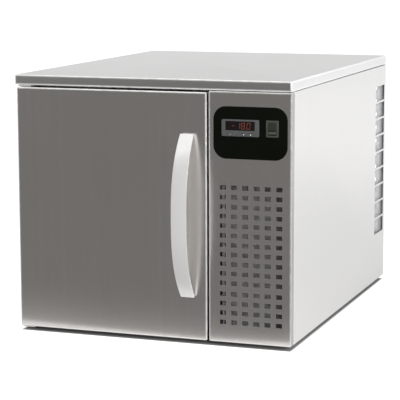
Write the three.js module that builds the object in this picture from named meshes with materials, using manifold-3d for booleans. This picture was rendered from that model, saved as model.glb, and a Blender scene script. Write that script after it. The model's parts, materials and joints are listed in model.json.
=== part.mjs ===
// A countertop blast chiller: an insulated chamber with a hinged door on the left, and a service bay
// with the controls, the condenser and the compressor on the right. Millimetres, +Z up.
// Pieces are placed by x from the left side, y from the front face and z from the counter; the whole
// unit is then moved so that its origin is at the middle of its footprint.
import * as THREE from 'three';
import { mergeVertices } from 'three/addons/utils/BufferGeometryUtils.js';
import Module from 'manifold-3d';

const wasm = await Module();
wasm.setup();

// ---------------------------------------------------------------- driving dimensions
// Overall outline of the cabinet
const WIDTH = 570;
const DEPTH = 740;
const HEIGHT = 515;
const SHEET = 1;
const FIT = 0.3;
const SLACK = 1;
const GLUE = 0.1;
const RUNNING_FIT = 0.1;
const FLANGE = 12;

// Facets round a full turn
const ROUND = 16;
const ROUND_LARGE = 32;
const ROUND_HUB = 18;
const ROUND_SMALL = 12;
const ROUND_TINY = 10;
const ROUND_WIRE = 8;
const ROUND_FINE_WIRE = 6;
const ROUND_RING = 14;

// Ground clearance and lid
const GROUND = 9;
const LID_HEIGHT = 20;
const LID_OVERHANG = 2;
const LID_CORNER = 5;
const LID_BEND = 2.5;
const LID_LIP = 14;
const LID_TO_DOOR = 4.5;
const LID_TO_PANEL = 1.5;

// Door
const DOOR_LEFT = 3;
const DOOR_WIDTH = 398;
const DOOR_THICKNESS = 50;
const DOOR_BEND = 3;
const DOOR_CORNER = 3.5;
const DOOR_TO_PANEL = 4;
const DOOR_FIELD_RISE = 6;
const DOOR_FIELD_MARGIN = 7;
const GASKET_DEPTH = 10;
const GASKET_WIDTH = 13;
const GASKET_LIP = 2;
const GASKET_CLEAR = 1;

// Chamber, sized for trays of 325 x 530
const TRAY_WIDTH = 325;
const TRAY_LENGTH = 530;
const TRAY_SIDE_ROOM = 6.5;
const WALL_LEFT = 33;
const WALL_RIGHT = 31;
const WALL_FLOOR = 41;
const WALL_ROOF = 60;
const DOOR_TO_TRAY = 9.7;
const FOAM_FROM_BACK = 7;
const FOAM_FROM_TOP = 2.5;
const CHAMBER_CORNER = 12;
const BREAKER_WIDTH = 3;
const BREAKER_DEPTH = 8;
const RACK_PITCH = 70;
const RACK_FIRST = 50;
const LEDGE_REACH = 14.7;
const LEDGE_THICKNESS = 1.5;
const LEDGE_INSET = 6;
const UPRIGHT_INSET = 50;
const UPRIGHT_WIDTH = 14;
const UPRIGHT_THICKNESS = 2.5;
const WIRE_R = 1.6;
const RIM_WIRE_R = 2.6;
const CROSS_WIRE_R = 2.2;
const WIRE_LIFT = 0.4;
const SPOKE_R = 1.2;
const SHELF_WIRES = 10;

// Evaporator bay at the back of the chamber
const COIL_TO_MOTOR = 12.4;
const EVAPORATOR_FAN_R = 92;
const EVAPORATOR_HUB_R = 28;
const EVAPORATOR_COIL_WIDTH = 280;
const EVAPORATOR_COIL_DEPTH = 38;
const GUARD_RINGS = 3;
const GUARD_SPOKES = 6;
const GUARD_DEPTH = 6;
const GUARD_MARGIN = 6;
const FAN_CLEARANCE = 4;
const FAN_DEPTH = 24;
const ROTOR_GAP = 2;
const BLADES = 7;
const BLADE_SPREAD = 32;
const BLADE_PITCH = 22;
const BLADE_THICKNESS = 1.6;
const MOTOR_ARMS = 3;
const MOTOR_ARM = 4;
const MOTOR_DEPTH = 12;
const AIR_SLOTS = 4;
const AIR_SLOT_WIDTH = 50;
const AIR_SLOT_HEIGHT = 9;
const AIR_SLOT_INSET = 26;
const SENSOR_R = 3;
const SENSOR_LENGTH = 34;
const SENSOR_INSET = 40;
const SENSOR_DROP = 70;
const DRIP_TRAY_WIDTH = 300;
const DRIP_TRAY_HEIGHT = 12;
const DRAIN_R = 5;
const DRAIN_WALL = 1.2;
const DRAIN_RISE = 6.6;
const DRAIN_REACH = 8;

// Hinges
const PIN_X = 16;
const PIN_Y = 24;
const PIN_R = 4;
const PIN_REACH = 24;
const BRACKET_THICKNESS = 3;
const BRACKET_LEG = 48;
const BRACKET_ARM = 27;
const BRACKET_LEG_WIDTH = 12;
const BRACKET_NOSE = 14;
const HINGE_GAP = 0.8;
const PIN_HEAD_R = 7;
const PIN_HEAD = 3;
const BUSH_R = 7;

// Handle
const HANDLE_X = 364.5;
const HANDLE_LENGTH = 338;
const HANDLE_REACH = 57;
const HANDLE_WIDTH = 32;
const HANDLE_THICKNESS = 8.5;
const HANDLE_FOOT = 13;
const HANDLE_CURVE = 2.7;
const HANDLE_RAISE = 3;
const HANDLE_EDGE = 2;
const HANDLE_STEPS = 24;

// Service panel, its vent holes and its control plate
const PANEL_RETURN = 18;
const PANEL_BEND = 2;
const PANEL_CORNER = 2.6;
const VENT_COLUMNS = 6;
const VENT_ROW_GROUPS = [11, 4];
const VENT_PITCH_X = 22.4;
const VENT_PITCH_Z = 18.5;
const VENT_GROUP_GAP = 2.7;
const VENT_WIDTH = 12.2;
const VENT_HEIGHT = 8.6;
const VENT_DROP = 204.4;
const VENT_SHIFT = 2.2;
const PLATE_WIDTH = 147;
const PLATE_HEIGHT = 100;
const PLATE_CORNER = 25;
const PLATE_THICKNESS = 1.2;
const PLATE_DROP = 49.3;
const PLATE_SHIFT = 1;
const PLATE_EDGE = 0.4;
const CONTROLS_DROP = 24.4;

// Thermostat
const THERMOSTAT_WIDTH = 74;
const THERMOSTAT_HEIGHT = 32;
const THERMOSTAT_LEFT = 17.8;
const THERMOSTAT_RIM = 4;
const RIM_OVERLAP = 0.5;
const RIM_CORNER = 2;
const RIM_EDGE = 0.8;
const THERMOSTAT_BODY_MARGIN = 1.7;
const THERMOSTAT_BODY_DEPTH = 58;
const WINDOW_WIDTH = 57.5;
const WINDOW_HEIGHT = 17;
const WINDOW_DROP = 3.4;
const WINDOW_THICKNESS = 1.6;
const WINDOW_INSET = 0.2;
const KEY_WIDTH = 9;
const KEY_HEIGHT = 5;
const KEY_DROP = 28.2;
const KEY_OFFSETS = { set: 17.2, down: 44, up: 57.9 };
const KEY_DEPTH = 2.7;
const KEY_POCKET = 3.4;
const KEY_PROUD = 0.5;
const KEY_CORNER = 1.2;

// Rocker switch
const SWITCH_WIDTH = 24.8;
const SWITCH_HEIGHT = 31.9;
const SWITCH_FROM_THERMOSTAT = 13.1;
const SWITCH_RIM = 1.8;
const SWITCH_BODY_MARGIN = 1.6;
const SWITCH_BODY_DEPTH = 24;
const ROCKER_WIDTH = 16.4;
const ROCKER_HEIGHT = 22.4;
const ROCKER_END_GAP = 1.1;
const ROCKER_FACE = 6.2;
const ROCKER_KEEL = 3.5;
const ROCKER_SKIRT = 2;
const ROCKER_PIVOT = 6.2;
const ROCKER_TILT = 7;
const ROCKER_POCKET = 12;

// Side vent
const SIDE_VENT_CELLS = 9;
const SIDE_VENT_PITCH = 37.5;
const SIDE_VENT_BAR = 4.3;
const SIDE_VENT_WIDTH = 77;
const SIDE_VENT_DROP = 65;
const SIDE_VENT_FROM_BACK = 16;

// Condensing unit
const CONDENSER_GAP = 24;
const CONDENSER_DEPTH = 40;
const CONDENSER_SIDE_ROOM = 18;
const CONDENSER_ABOVE_VENTS = 12;
const SHROUD_SIDE_ROOM = 10;
const FIN_PITCH = 18;
const FIN_THICKNESS = 4;
const FIN_ROOT = 6;
const END_PLATE = 2;
const WELD = 0.01;
const COIL_BENDS = 2;
const COIL_CLEARANCE = 18;
const TUBE_PITCH = 26;
const TUBE_BEND_REACH = 11;
const TUBE_R = 4.5;
const CONDENSER_FAN_R = 60;
const CONDENSER_HUB_R = 22;
const CONDENSER_FAN_HEIGHT = 158;
const SHROUD_DEPTH = 20;
const COMPRESSOR_Y = 330;
const COMPRESSOR_R = 68;
const COMPRESSOR_HEIGHT = 168;
const DOME = 20;
const SEAM_Z = [68, 76];
const SEAM_PROUD = 2;
const MOUNT_SPACING_X = 112;
const MOUNT_SPACING_Y = 170;
const GROMMET_R = 11;
const GROMMET_HEIGHT = 13;
const GROMMET_WAIST = 3;
const MOUNT_MARGIN = 3;
const MOUNT_PLATE = 3;
const STUB_HEIGHT = 86;
const STUB_REACH = 8;
const DISCHARGE_R = 3;
const DISCHARGE_X = 34;
const SUCTION_R = 4.5;
const SUCTION_INSET = 12;
const SUCTION_RISE = 38;
const CAPILLARY_R = 2;
const CAPILLARY_INSET = 30;
const CAPILLARY_DROP = 2;
const LINE_BEND = 6;
const SUCTION_BEND = 12;
const LINE_STEPS = 36;
const COIL_BEND_STEPS = 8;
const LINE_FROM_END = 22;
const LANE = 5;
const DRIER_R = 9;
const DRIER_LENGTH = 95;
const DRIER_CONE = 14;
const DRIER_RISE = 108;
const DRIER_OFFSET = 58;
const DRIER_CLEARANCE = 30;
const ELECTRIC_WIDTH = 140;
const ELECTRIC_HEIGHT = 120;
const ELECTRIC_DEPTH = 110;
const ELECTRIC_Y = 90;
const ELECTRIC_DROP = 45;
const ELECTRIC_CORNER = 5;
const ELECTRIC_EDGE = 3;

// Feet, back panel and mains gland
const FOOT_R = 19;
const FOOT_EDGE = 2;
const FOOT_INSET = 48;
const FOOT_FROM_FRONT = 95;
const FOOT_FROM_BACK = 50;
const BACK_SLOT_COLUMNS = 3;
const BACK_SLOT_ROWS = 8;
const BACK_SLOT_WIDTH = 36;
const BACK_SLOT_HEIGHT = 8;
const BACK_SLOT_PITCH_X = 46;
const BACK_SLOT_PITCH_Z = 30;
const BACK_SLOT_DROP = 75;
const GLAND_R = 8;
const GLAND_FLANGE_R = 13;
const GLAND_BORE_R = 4;
const GLAND_HEXAGON = 5;
const HEXAGON_SIDES = 6;
const GLAND_DEPTH = 11;
const GLAND_HEIGHT = 62;
const REAR_REACH = 12;

// ---------------------------------------------------------------- derived places
const LID_BOTTOM = HEIGHT - LID_HEIGHT;
const SHELL_TOP = LID_BOTTOM - FIT;
const DOOR_RIGHT = DOOR_LEFT + DOOR_WIDTH;
const DOOR_BOTTOM = GROUND;
const DOOR_TOP = LID_BOTTOM - LID_TO_DOOR;
const DOOR_MID_Z = (DOOR_BOTTOM + DOOR_TOP) / 2;
const CABINET_Y = DOOR_THICKNESS + GASKET_DEPTH;
const PANEL_LEFT = DOOR_RIGHT + DOOR_TO_PANEL;
const PANEL_TOP = LID_BOTTOM - LID_TO_PANEL;
const PANEL_MID_X = (PANEL_LEFT + WIDTH) / 2;
const RACK_FRONT = DOOR_THICKNESS + DOOR_FIELD_RISE + DOOR_TO_TRAY;
const COVER_Y = RACK_FRONT + TRAY_LENGTH + FIT;
const ROTOR_Y = COVER_Y + GUARD_DEPTH + SHEET + ROTOR_GAP;
const COIL_FRONT = ROTOR_Y + FAN_DEPTH + FIT + MOTOR_DEPTH + COIL_TO_MOTOR;
const CHAMBER = {
  x: [WALL_LEFT, WALL_LEFT + TRAY_WIDTH + 2 * TRAY_SIDE_ROOM],
  z: [GROUND + WALL_FLOOR, HEIGHT - WALL_ROOF],
  back: COIL_FRONT + EVAPORATOR_COIL_DEPTH + FIT,
};
const CHAMBER_MID_X = (CHAMBER.x[0] + CHAMBER.x[1]) / 2;
const CHAMBER_MID_Z = (CHAMBER.z[0] + CHAMBER.z[1]) / 2;
const LINER_Y = CABINET_Y + BREAKER_DEPTH + FIT;
const PARTITION_X = CHAMBER.x[1] + WALL_RIGHT - SHEET;
const BASE_Z = GROUND + SHEET + FIT;
const FLOOR_Z = BASE_Z + SHEET + FIT;
const FRAME_BACK = CABINET_Y + SHEET + FIT;
const BACK_Y = DEPTH - SHEET;
const RACK_LEVELS = Math.floor((CHAMBER.z[1] - CHAMBER.z[0] - RACK_FIRST) / RACK_PITCH);
const SHELF_LEVELS = [1, RACK_LEVELS - 2];
const BAY = [PARTITION_X + SHEET, WIDTH - SHEET];
const BAY_MID_X = (BAY[0] + BAY[1]) / 2;
const PLATE = {
  x: [PANEL_MID_X + PLATE_SHIFT - PLATE_WIDTH / 2, PANEL_MID_X + PLATE_SHIFT + PLATE_WIDTH / 2],
  z: [HEIGHT - PLATE_DROP - PLATE_HEIGHT, HEIGHT - PLATE_DROP],
};
const PLATE_FRONT = -(GLUE + PLATE_THICKNESS);
const RIM_BACK = PLATE_FRONT - GLUE;
const THERMOSTAT = {
  x: [PLATE.x[0] + THERMOSTAT_LEFT, PLATE.x[0] + THERMOSTAT_LEFT + THERMOSTAT_WIDTH],
  z: [PLATE.z[1] - CONTROLS_DROP - THERMOSTAT_HEIGHT, PLATE.z[1] - CONTROLS_DROP],
};
const THERMOSTAT_FRONT = RIM_BACK - THERMOSTAT_RIM;
const SWITCH_LEFT = THERMOSTAT.x[1] + SWITCH_FROM_THERMOSTAT;
const SWITCH = {
  x: [SWITCH_LEFT, SWITCH_LEFT + SWITCH_WIDTH],
  z: [PLATE.z[1] - CONTROLS_DROP - SWITCH_HEIGHT, PLATE.z[1] - CONTROLS_DROP],
};
const SWITCH_FRONT = RIM_BACK - SWITCH_RIM;
const CONDENSER_Y = PANEL_RETURN + CONDENSER_GAP;
const CONDENSER_TOP = HEIGHT - VENT_DROP + CONDENSER_ABOVE_VENTS;
const CONDENSER_FAN_Z = FLOOR_Z + CONDENSER_FAN_HEIGHT;
const DRAIN_Z = CHAMBER.z[0] + FIT + DRAIN_RISE;
const COIL_END_X = CHAMBER_MID_X + EVAPORATOR_COIL_WIDTH / 2 + END_PLATE + FIT;
const SUCTION = { y: CHAMBER.back - SUCTION_INSET, z: CHAMBER_MID_Z + SUCTION_RISE };
const CAPILLARY = { y: CHAMBER.back - CAPILLARY_INSET, z: CHAMBER_MID_Z - CAPILLARY_DROP };

// ---------------------------------------------------------------- shapes and solids
// Each piece is described by pairs [low, high] along x, y and z
const grow = ([low, high], by) => [low - by, high + by];
const middle = ([low, high]) => (low + high) / 2;

function rectangle([x0, x1], [z0, z1], corner) {
  const shape = new THREE.Shape();
  shape.moveTo(x0 + corner, z0);
  shape.lineTo(x1 - corner, z0);
  shape.absarc(x1 - corner, z0 + corner, corner, -Math.PI / 2, 0);
  shape.lineTo(x1, z1 - corner);
  shape.absarc(x1 - corner, z1 - corner, corner, 0, Math.PI / 2);
  shape.lineTo(x0 + corner, z1);
  shape.absarc(x0 + corner, z1 - corner, corner, Math.PI / 2, Math.PI);
  shape.lineTo(x0, z0 + corner);
  shape.absarc(x0 + corner, z0 + corner, corner, Math.PI, 1.5 * Math.PI);
  return shape;
}

// An outline drawn in x and z, made solid along y, with rounded edges of radius edge at both ends
function upright(shape, [y0, y1], edge = 0) {
  const geometry = new THREE.ExtrudeGeometry(shape, {
    depth: y1 - y0 - 2 * edge,
    curveSegments: 2,
    bevelEnabled: edge > 0,
    bevelThickness: edge,
    bevelSize: edge,
    bevelOffset: -edge,
    bevelSegments: 2,
  });
  return geometry.rotateX(Math.PI / 2).translate(0, y1 - edge, 0);
}

// An outline drawn in y and z, made solid along x
function profile(points, [x0, x1], edge = 0) {
  const turned = new THREE.Shape(points.map(([y, z]) => new THREE.Vector2(y, z)));
  return upright(turned, [-x1, -x0], edge).rotateZ(Math.PI / 2);
}

function block([x0, x1], [y0, y1], [z0, z1]) {
  const geometry = new THREE.BoxGeometry(x1 - x0, y1 - y0, z1 - z0);
  return geometry.translate((x0 + x1) / 2, (y0 + y1) / 2, (z0 + z1) / 2);
}

function roundedBlock(x, y, z, corner, edge) {
  return upright(rectangle(x, z, corner), y, edge);
}

// A round bar along one axis, centred at [a, b] in the other two
function rod(axis, radius, [from, to], [a, b], sides = ROUND) {
  const geometry = new THREE.CylinderGeometry(radius, radius, to - from, sides);
  const centre = (from + to) / 2;
  if (axis === 'x') return geometry.rotateZ(-Math.PI / 2).translate(centre, a, b);
  if (axis === 'z') return geometry.rotateX(Math.PI / 2).translate(a, b, centre);
  return geometry.translate(a, centre, b);
}

// A turned piece about the z axis, from points of radius and height
function turned(points, sides) {
  const outline = points.map(([radius, height]) => new THREE.Vector2(radius, height));
  return new THREE.LatheGeometry(outline, sides).rotateX(Math.PI / 2);
}

// A tube that runs straight between points and is bent round each corner
function pipe(points, radius, bend, steps) {
  const corners = points.map((point) => new THREE.Vector3(...point));
  const path = new THREE.CurvePath();
  let start = corners[0];
  for (let i = 1; i < corners.length - 1; i += 1) {
    const before = corners[i - 1].clone().sub(corners[i]).setLength(bend).add(corners[i]);
    const after = corners[i + 1].clone().sub(corners[i]).setLength(bend).add(corners[i]);
    path.add(new THREE.LineCurve3(start, before));
    path.add(new THREE.QuadraticBezierCurve3(before, corners[i], after));
    start = after;
  }
  path.add(new THREE.LineCurve3(start, corners.at(-1)));
  const section = new THREE.Shape(new THREE.EllipseCurve(0, 0, radius, radius).getPoints(6).slice(1));
  return new THREE.ExtrudeGeometry(section, { extrudePath: path, steps, bevelEnabled: false });
}

function toSolid(geometry) {
  const bare = geometry.clone();
  bare.deleteAttribute('normal');
  bare.deleteAttribute('uv');
  const merged = mergeVertices(bare);
  const corners = [];
  for (let i = 0; i < merged.index.count; i += 3) {
    const [a, b, c] = merged.index.array.slice(i, i + 3);
    if (a !== b && b !== c && c !== a) corners.push(a, b, c);
  }
  return new wasm.Manifold(new wasm.Mesh({
    numProp: 3,
    vertProperties: new Float32Array(merged.attributes.position.array),
    triVerts: new Uint32Array(corners),
  }));
}

function toGeometry(solid) {
  const mesh = solid.getMesh();
  const geometry = new THREE.BufferGeometry();
  geometry.setAttribute('position', new THREE.BufferAttribute(mesh.vertProperties, 3));
  geometry.setIndex(new THREE.BufferAttribute(mesh.triVerts, 1));
  geometry.computeVertexNormals();
  return geometry;
}

const cut = (body, ...tools) =>
  toGeometry(tools.reduce((left, tool) => left.subtract(toSolid(tool)), toSolid(body)));

const join = (first, ...others) =>
  toGeometry(others.reduce((whole, part) => whole.add(toSolid(part)), toSolid(first)));

// A folded sheet tray: a face towards -y with rolled edges, and a return along each side
function foldedTray(x, [face, rim], z, corner, bend) {
  const outside = roundedBlock(x, [face, rim + bend], z, corner, bend);
  const inside = roundedBlock(grow(x, -SHEET), [face + SHEET, rim + 3 * bend], grow(z, -SHEET),
    corner - SHEET, bend - SHEET);
  const behind = block(grow(x, SHEET), [rim, rim + 4 * bend], grow(z, SHEET));
  return cut(outside, inside, behind);
}

// Slots or holes in a regular pattern, each width by height, through a range of y
function holes(centresX, centresZ, width, height, y) {
  return centresX.flatMap((x) => centresZ.map((z) =>
    block([x - width / 2, x + width / 2], y, [z - height / 2, z + height / 2])));
}

const steps = (count, pitch) => Array.from({ length: count }, (_, i) => i * pitch);
const centred = (count, pitch, centre) =>
  steps(count, pitch).map((offset) => centre + offset - ((count - 1) * pitch) / 2);

// ---------------------------------------------------------------- finishes
const BRUSHED = { color: 0x8f8d88, roughness: 0.32, metalness: 1 };
const LID_STEEL = { color: 0xd0d2d0, roughness: 0.4, metalness: 1 };
const GALVANISED = { color: 0xa9abad, roughness: 0.5, metalness: 1 };
const LINER_STEEL = { color: 0xc4c6c8, roughness: 0.25, metalness: 1 };
const WIRE_STEEL = { color: 0xd5d7d8, roughness: 0.2, metalness: 1 };
const HANDLE_SILVER = { color: 0xdcdcda, roughness: 0.35, metalness: 0.2 };
const ALUMINIUM = { color: 0xc9ccd0, roughness: 0.45, metalness: 1 };
const COPPER = { color: 0xb87333, roughness: 0.35, metalness: 1 };
const FOAM = { color: 0xe3d9a8, roughness: 0.95, metalness: 0 };
const RUBBER = { color: 0x2b2b2b, roughness: 0.8, metalness: 0 };
const GASKET_GREY = { color: 0x8b8d8f, roughness: 0.7, metalness: 0 };
const BLACK_PLASTIC = { color: 0x0f0f0d, roughness: 0.45, metalness: 0 };
const RIM_GREY = { color: 0x46494b, roughness: 0.5, metalness: 0 };
const WHITE_PLASTIC = { color: 0xe8e8e6, roughness: 0.5, metalness: 0 };
const KEY_WHITE = { color: 0xb9bfc0, roughness: 0.5, metalness: 0 };
const DARK_WINDOW = { color: 0x160c0a, roughness: 0.12, metalness: 0 };
const BLACK_ENAMEL = { color: 0x161616, roughness: 0.4, metalness: 0.3 };

const chiller = new THREE.Group();
const door = new THREE.Group();
chiller.add(door);

function add(name, geometry, finish, parent = chiller) {
  const mesh = new THREE.Mesh(geometry, new THREE.MeshStandardMaterial(finish));
  mesh.name = name;
  parent.add(mesh);
  return mesh;
}

// ---------------------------------------------------------------- casing
function ventBlocks() {
  const rows = [];
  let z = HEIGHT - VENT_DROP;
  for (const count of VENT_ROW_GROUPS) {
    steps(count, VENT_PITCH_Z).forEach((drop) => rows.push(z - drop));
    z -= count * VENT_PITCH_Z + VENT_GROUP_GAP;
  }
  const columns = centred(VENT_COLUMNS, VENT_PITCH_X, PANEL_MID_X + VENT_SHIFT);
  return holes(columns, rows, VENT_WIDTH, VENT_HEIGHT, [-SHEET, 2 * SHEET]);
}

function bodyHole({ x, z }, margin) {
  return block(grow(x, FIT - margin), [-3 * SHEET, 2 * SHEET], grow(z, FIT - margin));
}

function servicePanel() {
  const tray = foldedTray([PANEL_LEFT, WIDTH], [0, PANEL_RETURN], [GROUND, PANEL_TOP],
    PANEL_CORNER, PANEL_BEND);
  return cut(tray, ...ventBlocks(), bodyHole(THERMOSTAT, THERMOSTAT_BODY_MARGIN),
    bodyHole(SWITCH, SWITCH_BODY_MARGIN));
}

function rightSidePanel() {
  const tray = foldedTray([PANEL_RETURN + FIT, BACK_Y - FIT], [-WIDTH, FLANGE - WIDTH],
    [GROUND, SHELL_TOP], PANEL_CORNER, PANEL_BEND).rotateZ(Math.PI / 2);
  const back = DEPTH - SIDE_VENT_FROM_BACK;
  const cells = steps(SIDE_VENT_CELLS, SIDE_VENT_PITCH).map((drop) => {
    const top = HEIGHT - SIDE_VENT_DROP - drop;
    return block([WIDTH - 2 * SHEET, WIDTH + SHEET], [back - SIDE_VENT_WIDTH, back],
      [top - SIDE_VENT_PITCH + SIDE_VENT_BAR, top]);
  });
  return cut(tray, ...cells);
}

function leftSidePanel() {
  return foldedTray([FIT - BACK_Y, -FRAME_BACK], [0, FLANGE], [GROUND, SHELL_TOP],
    PANEL_CORNER, PANEL_BEND).rotateZ(-Math.PI / 2);
}

// The lid is a shallow box whose lower edges roll in under it as a lip
function topLid() {
  const across = [0, WIDTH];
  const along = [-LID_OVERHANG, DEPTH];
  const outside = roundedBlock(across, [-HEIGHT, -LID_BOTTOM], along, LID_CORNER, LID_BEND);
  const inside = roundedBlock(grow(across, -SHEET), [SHEET - HEIGHT, -LID_BOTTOM - SHEET],
    grow(along, -SHEET), LID_CORNER - SHEET, LID_BEND - SHEET);
  const opening = block(grow(across, -LID_LIP), [-LID_BOTTOM - 2 * SHEET, SHEET - LID_BOTTOM],
    grow(along, -LID_LIP));
  return cut(outside, inside, opening).rotateX(-Math.PI / 2);
}

function backPanel() {
  const panel = block([SHEET + FIT, WIDTH - SHEET - FIT], [BACK_Y, DEPTH], [GROUND, SHELL_TOP]);
  const columns = centred(BACK_SLOT_COLUMNS, BACK_SLOT_PITCH_X, BAY_MID_X);
  const rows = steps(BACK_SLOT_ROWS, BACK_SLOT_PITCH_Z).map((drop) => HEIGHT - BACK_SLOT_DROP - drop);
  const through = grow([BACK_Y, DEPTH], SHEET);
  return cut(panel, ...holes(columns, rows, BACK_SLOT_WIDTH, BACK_SLOT_HEIGHT, through),
    rod('y', GLAND_R + FIT, through, [BAY_MID_X, GLAND_HEIGHT]),
    rod('y', DRAIN_R + FIT, through, [CHAMBER_MID_X, DRAIN_Z]));
}

// The floor plate reaches forward under the service bay and stops behind the door elsewhere
function basePlate() {
  const height = [BASE_Z, BASE_Z + SHEET];
  const rear = BACK_Y - FIT - SHEET - SLACK;
  const whole = block([SHEET + SLACK, WIDTH - SHEET - SLACK], [FRAME_BACK + SHEET + SLACK, rear], height);
  const front = block([BAY[0] + FIT, WIDTH - SHEET - SLACK],
    [PANEL_RETURN + SHEET + 2 * SLACK, CABINET_Y + FLANGE], height);
  return join(whole, front);
}

function foot() {
  const top = BASE_Z - FIT;
  return turned([[0, 0], [FOOT_R - FOOT_EDGE, 0], [FOOT_R, FOOT_EDGE], [FOOT_R, top - FOOT_EDGE],
    [FOOT_R - FOOT_EDGE, top], [0, top]], ROUND_HUB);
}

add('top_lid', topLid(), LID_STEEL);
add('service_panel', servicePanel(), BRUSHED);
add('right_side_panel', rightSidePanel(), BRUSHED);
add('left_side_panel', leftSidePanel(), BRUSHED);
add('back_panel', backPanel(), GALVANISED);
add('base_plate', basePlate(), GALVANISED);
for (const [end, y] of [['front', FOOT_FROM_FRONT], ['rear', DEPTH - FOOT_FROM_BACK]]) {
  for (const [side, x] of [['left', FOOT_INSET], ['right', WIDTH - FOOT_INSET]]) {
    add(`foot_${end}_${side}`, foot(), RUBBER).position.set(x, y, 0);
  }
}

// ---------------------------------------------------------------- insulated chamber
const opening = (by) => rectangle(grow(CHAMBER.x, by), grow(CHAMBER.z, by), CHAMBER_CORNER + by);

function frontFrame() {
  const face = block([0, PARTITION_X + SHEET], [CABINET_Y, CABINET_Y + SHEET], [GROUND, SHELL_TOP]);
  return cut(face, upright(opening(BREAKER_WIDTH), [CABINET_Y - SHEET, CABINET_Y + 2 * SHEET]));
}

function breakerFrame() {
  const ends = [CABINET_Y, CABINET_Y + BREAKER_DEPTH];
  return cut(upright(opening(BREAKER_WIDTH - FIT), ends), upright(opening(0), grow(ends, SHEET)));
}

function lineHoles(clearance, x) {
  return [
    rod('x', SUCTION_R + clearance, x, [SUCTION.y, SUCTION.z], ROUND_SMALL),
    rod('x', CAPILLARY_R + clearance, x, [CAPILLARY.y, CAPILLARY.z], ROUND_SMALL),
  ];
}

function chamberLiner() {
  const tub = upright(opening(SHEET), [LINER_Y, CHAMBER.back + SHEET]);
  const inside = upright(opening(0), [LINER_Y - SHEET, CHAMBER.back]);
  const drain = rod('y', DRAIN_R + FIT, grow([CHAMBER.back, CHAMBER.back + SHEET], SHEET),
    [CHAMBER_MID_X, DRAIN_Z]);
  return cut(tub, inside, drain, ...lineHoles(FIT, grow([CHAMBER.x[1], CHAMBER.x[1] + SHEET], SHEET)));
}

function cabinetInsulation() {
  const front = FRAME_BACK + SHEET + FIT;
  const back = DEPTH - FOAM_FROM_BACK;
  const foam = block([SHEET + SLACK, PARTITION_X - FIT], [front, back],
    [FLOOR_Z, SHELL_TOP - SHEET - FOAM_FROM_TOP]);
  const mouth = upright(opening(BREAKER_WIDTH), [front - SHEET, LINER_Y]);
  const tub = upright(opening(SHEET + FIT), [front - SHEET, CHAMBER.back + SHEET + FIT]);
  const drain = rod('y', DRAIN_R + FIT, [CHAMBER.back, back + SHEET], [CHAMBER_MID_X, DRAIN_Z]);
  return cut(foam, mouth, tub, drain, ...lineHoles(FIT, [CHAMBER.x[1], PARTITION_X]));
}

function partitionPanel() {
  const sheet = block([PARTITION_X, PARTITION_X + SHEET], [FRAME_BACK, BACK_Y - FIT],
    [FLOOR_Z, SHELL_TOP - FIT]);
  return cut(sheet, ...lineHoles(SLACK, grow([PARTITION_X, PARTITION_X + SHEET], SHEET)));
}

add('front_frame', frontFrame(), BRUSHED);
add('breaker_frame', breakerFrame(), WHITE_PLASTIC);
add('chamber_liner', chamberLiner(), LINER_STEEL);
add('cabinet_insulation', cabinetInsulation(), FOAM);
add('partition_panel', partitionPanel(), GALVANISED);

// ---------------------------------------------------------------- racks and wire shelves
const ledgeTop = (level) => CHAMBER.z[0] + RACK_FIRST + level * RACK_PITCH;

// Two uprights on a side wall carry the ledges; toward is +1 from the left wall, -1 from the right
function rack(wall, toward) {
  const reach = (depth) => [wall + toward * FIT, wall + toward * (FIT + depth)].sort((a, b) => a - b);
  const height = grow(CHAMBER.z, -CHAMBER_CORNER - 2);
  const places = [RACK_FRONT + UPRIGHT_INSET, RACK_FRONT + TRAY_LENGTH - UPRIGHT_INSET - UPRIGHT_WIDTH];
  const uprights = places.map((y) =>
    block(reach(UPRIGHT_THICKNESS), [y, y + UPRIGHT_WIDTH], height));
  const ledges = steps(RACK_LEVELS, 1).map((level) =>
    block(reach(LEDGE_REACH), grow([RACK_FRONT, RACK_FRONT + TRAY_LENGTH], -LEDGE_INSET),
      [ledgeTop(level) - LEDGE_THICKNESS, ledgeTop(level)]));
  return join(...uprights, ...ledges);
}

function wireShelf(level) {
  const z = ledgeTop(level) + FIT + RIM_WIRE_R;
  const x = [CHAMBER_MID_X - TRAY_WIDTH / 2, CHAMBER_MID_X + TRAY_WIDTH / 2];
  const y = [RACK_FRONT, RACK_FRONT + TRAY_LENGTH];
  const long = grow(x, -RIM_WIRE_R).map((at) => rod('y', RIM_WIRE_R, y, [at, z], ROUND_WIRE));
  const short = grow(y, -RIM_WIRE_R).map((at) =>
    rod('x', CROSS_WIRE_R, grow(x, -RIM_WIRE_R), [at, z], ROUND_WIRE));
  const wires = centred(SHELF_WIRES, TRAY_WIDTH / (SHELF_WIRES + 1), CHAMBER_MID_X).map((at) =>
    rod('y', WIRE_R, grow(y, -RIM_WIRE_R), [at, z + WIRE_LIFT], ROUND_FINE_WIRE));
  return join(...long, ...short, ...wires);
}

add('rack_left', rack(CHAMBER.x[0], 1), WIRE_STEEL);
add('rack_right', rack(CHAMBER.x[1], -1), WIRE_STEEL);
add('wire_shelf_lower', wireShelf(SHELF_LEVELS[0]), WIRE_STEEL);
add('wire_shelf_upper', wireShelf(SHELF_LEVELS[1]), WIRE_STEEL);

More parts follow.
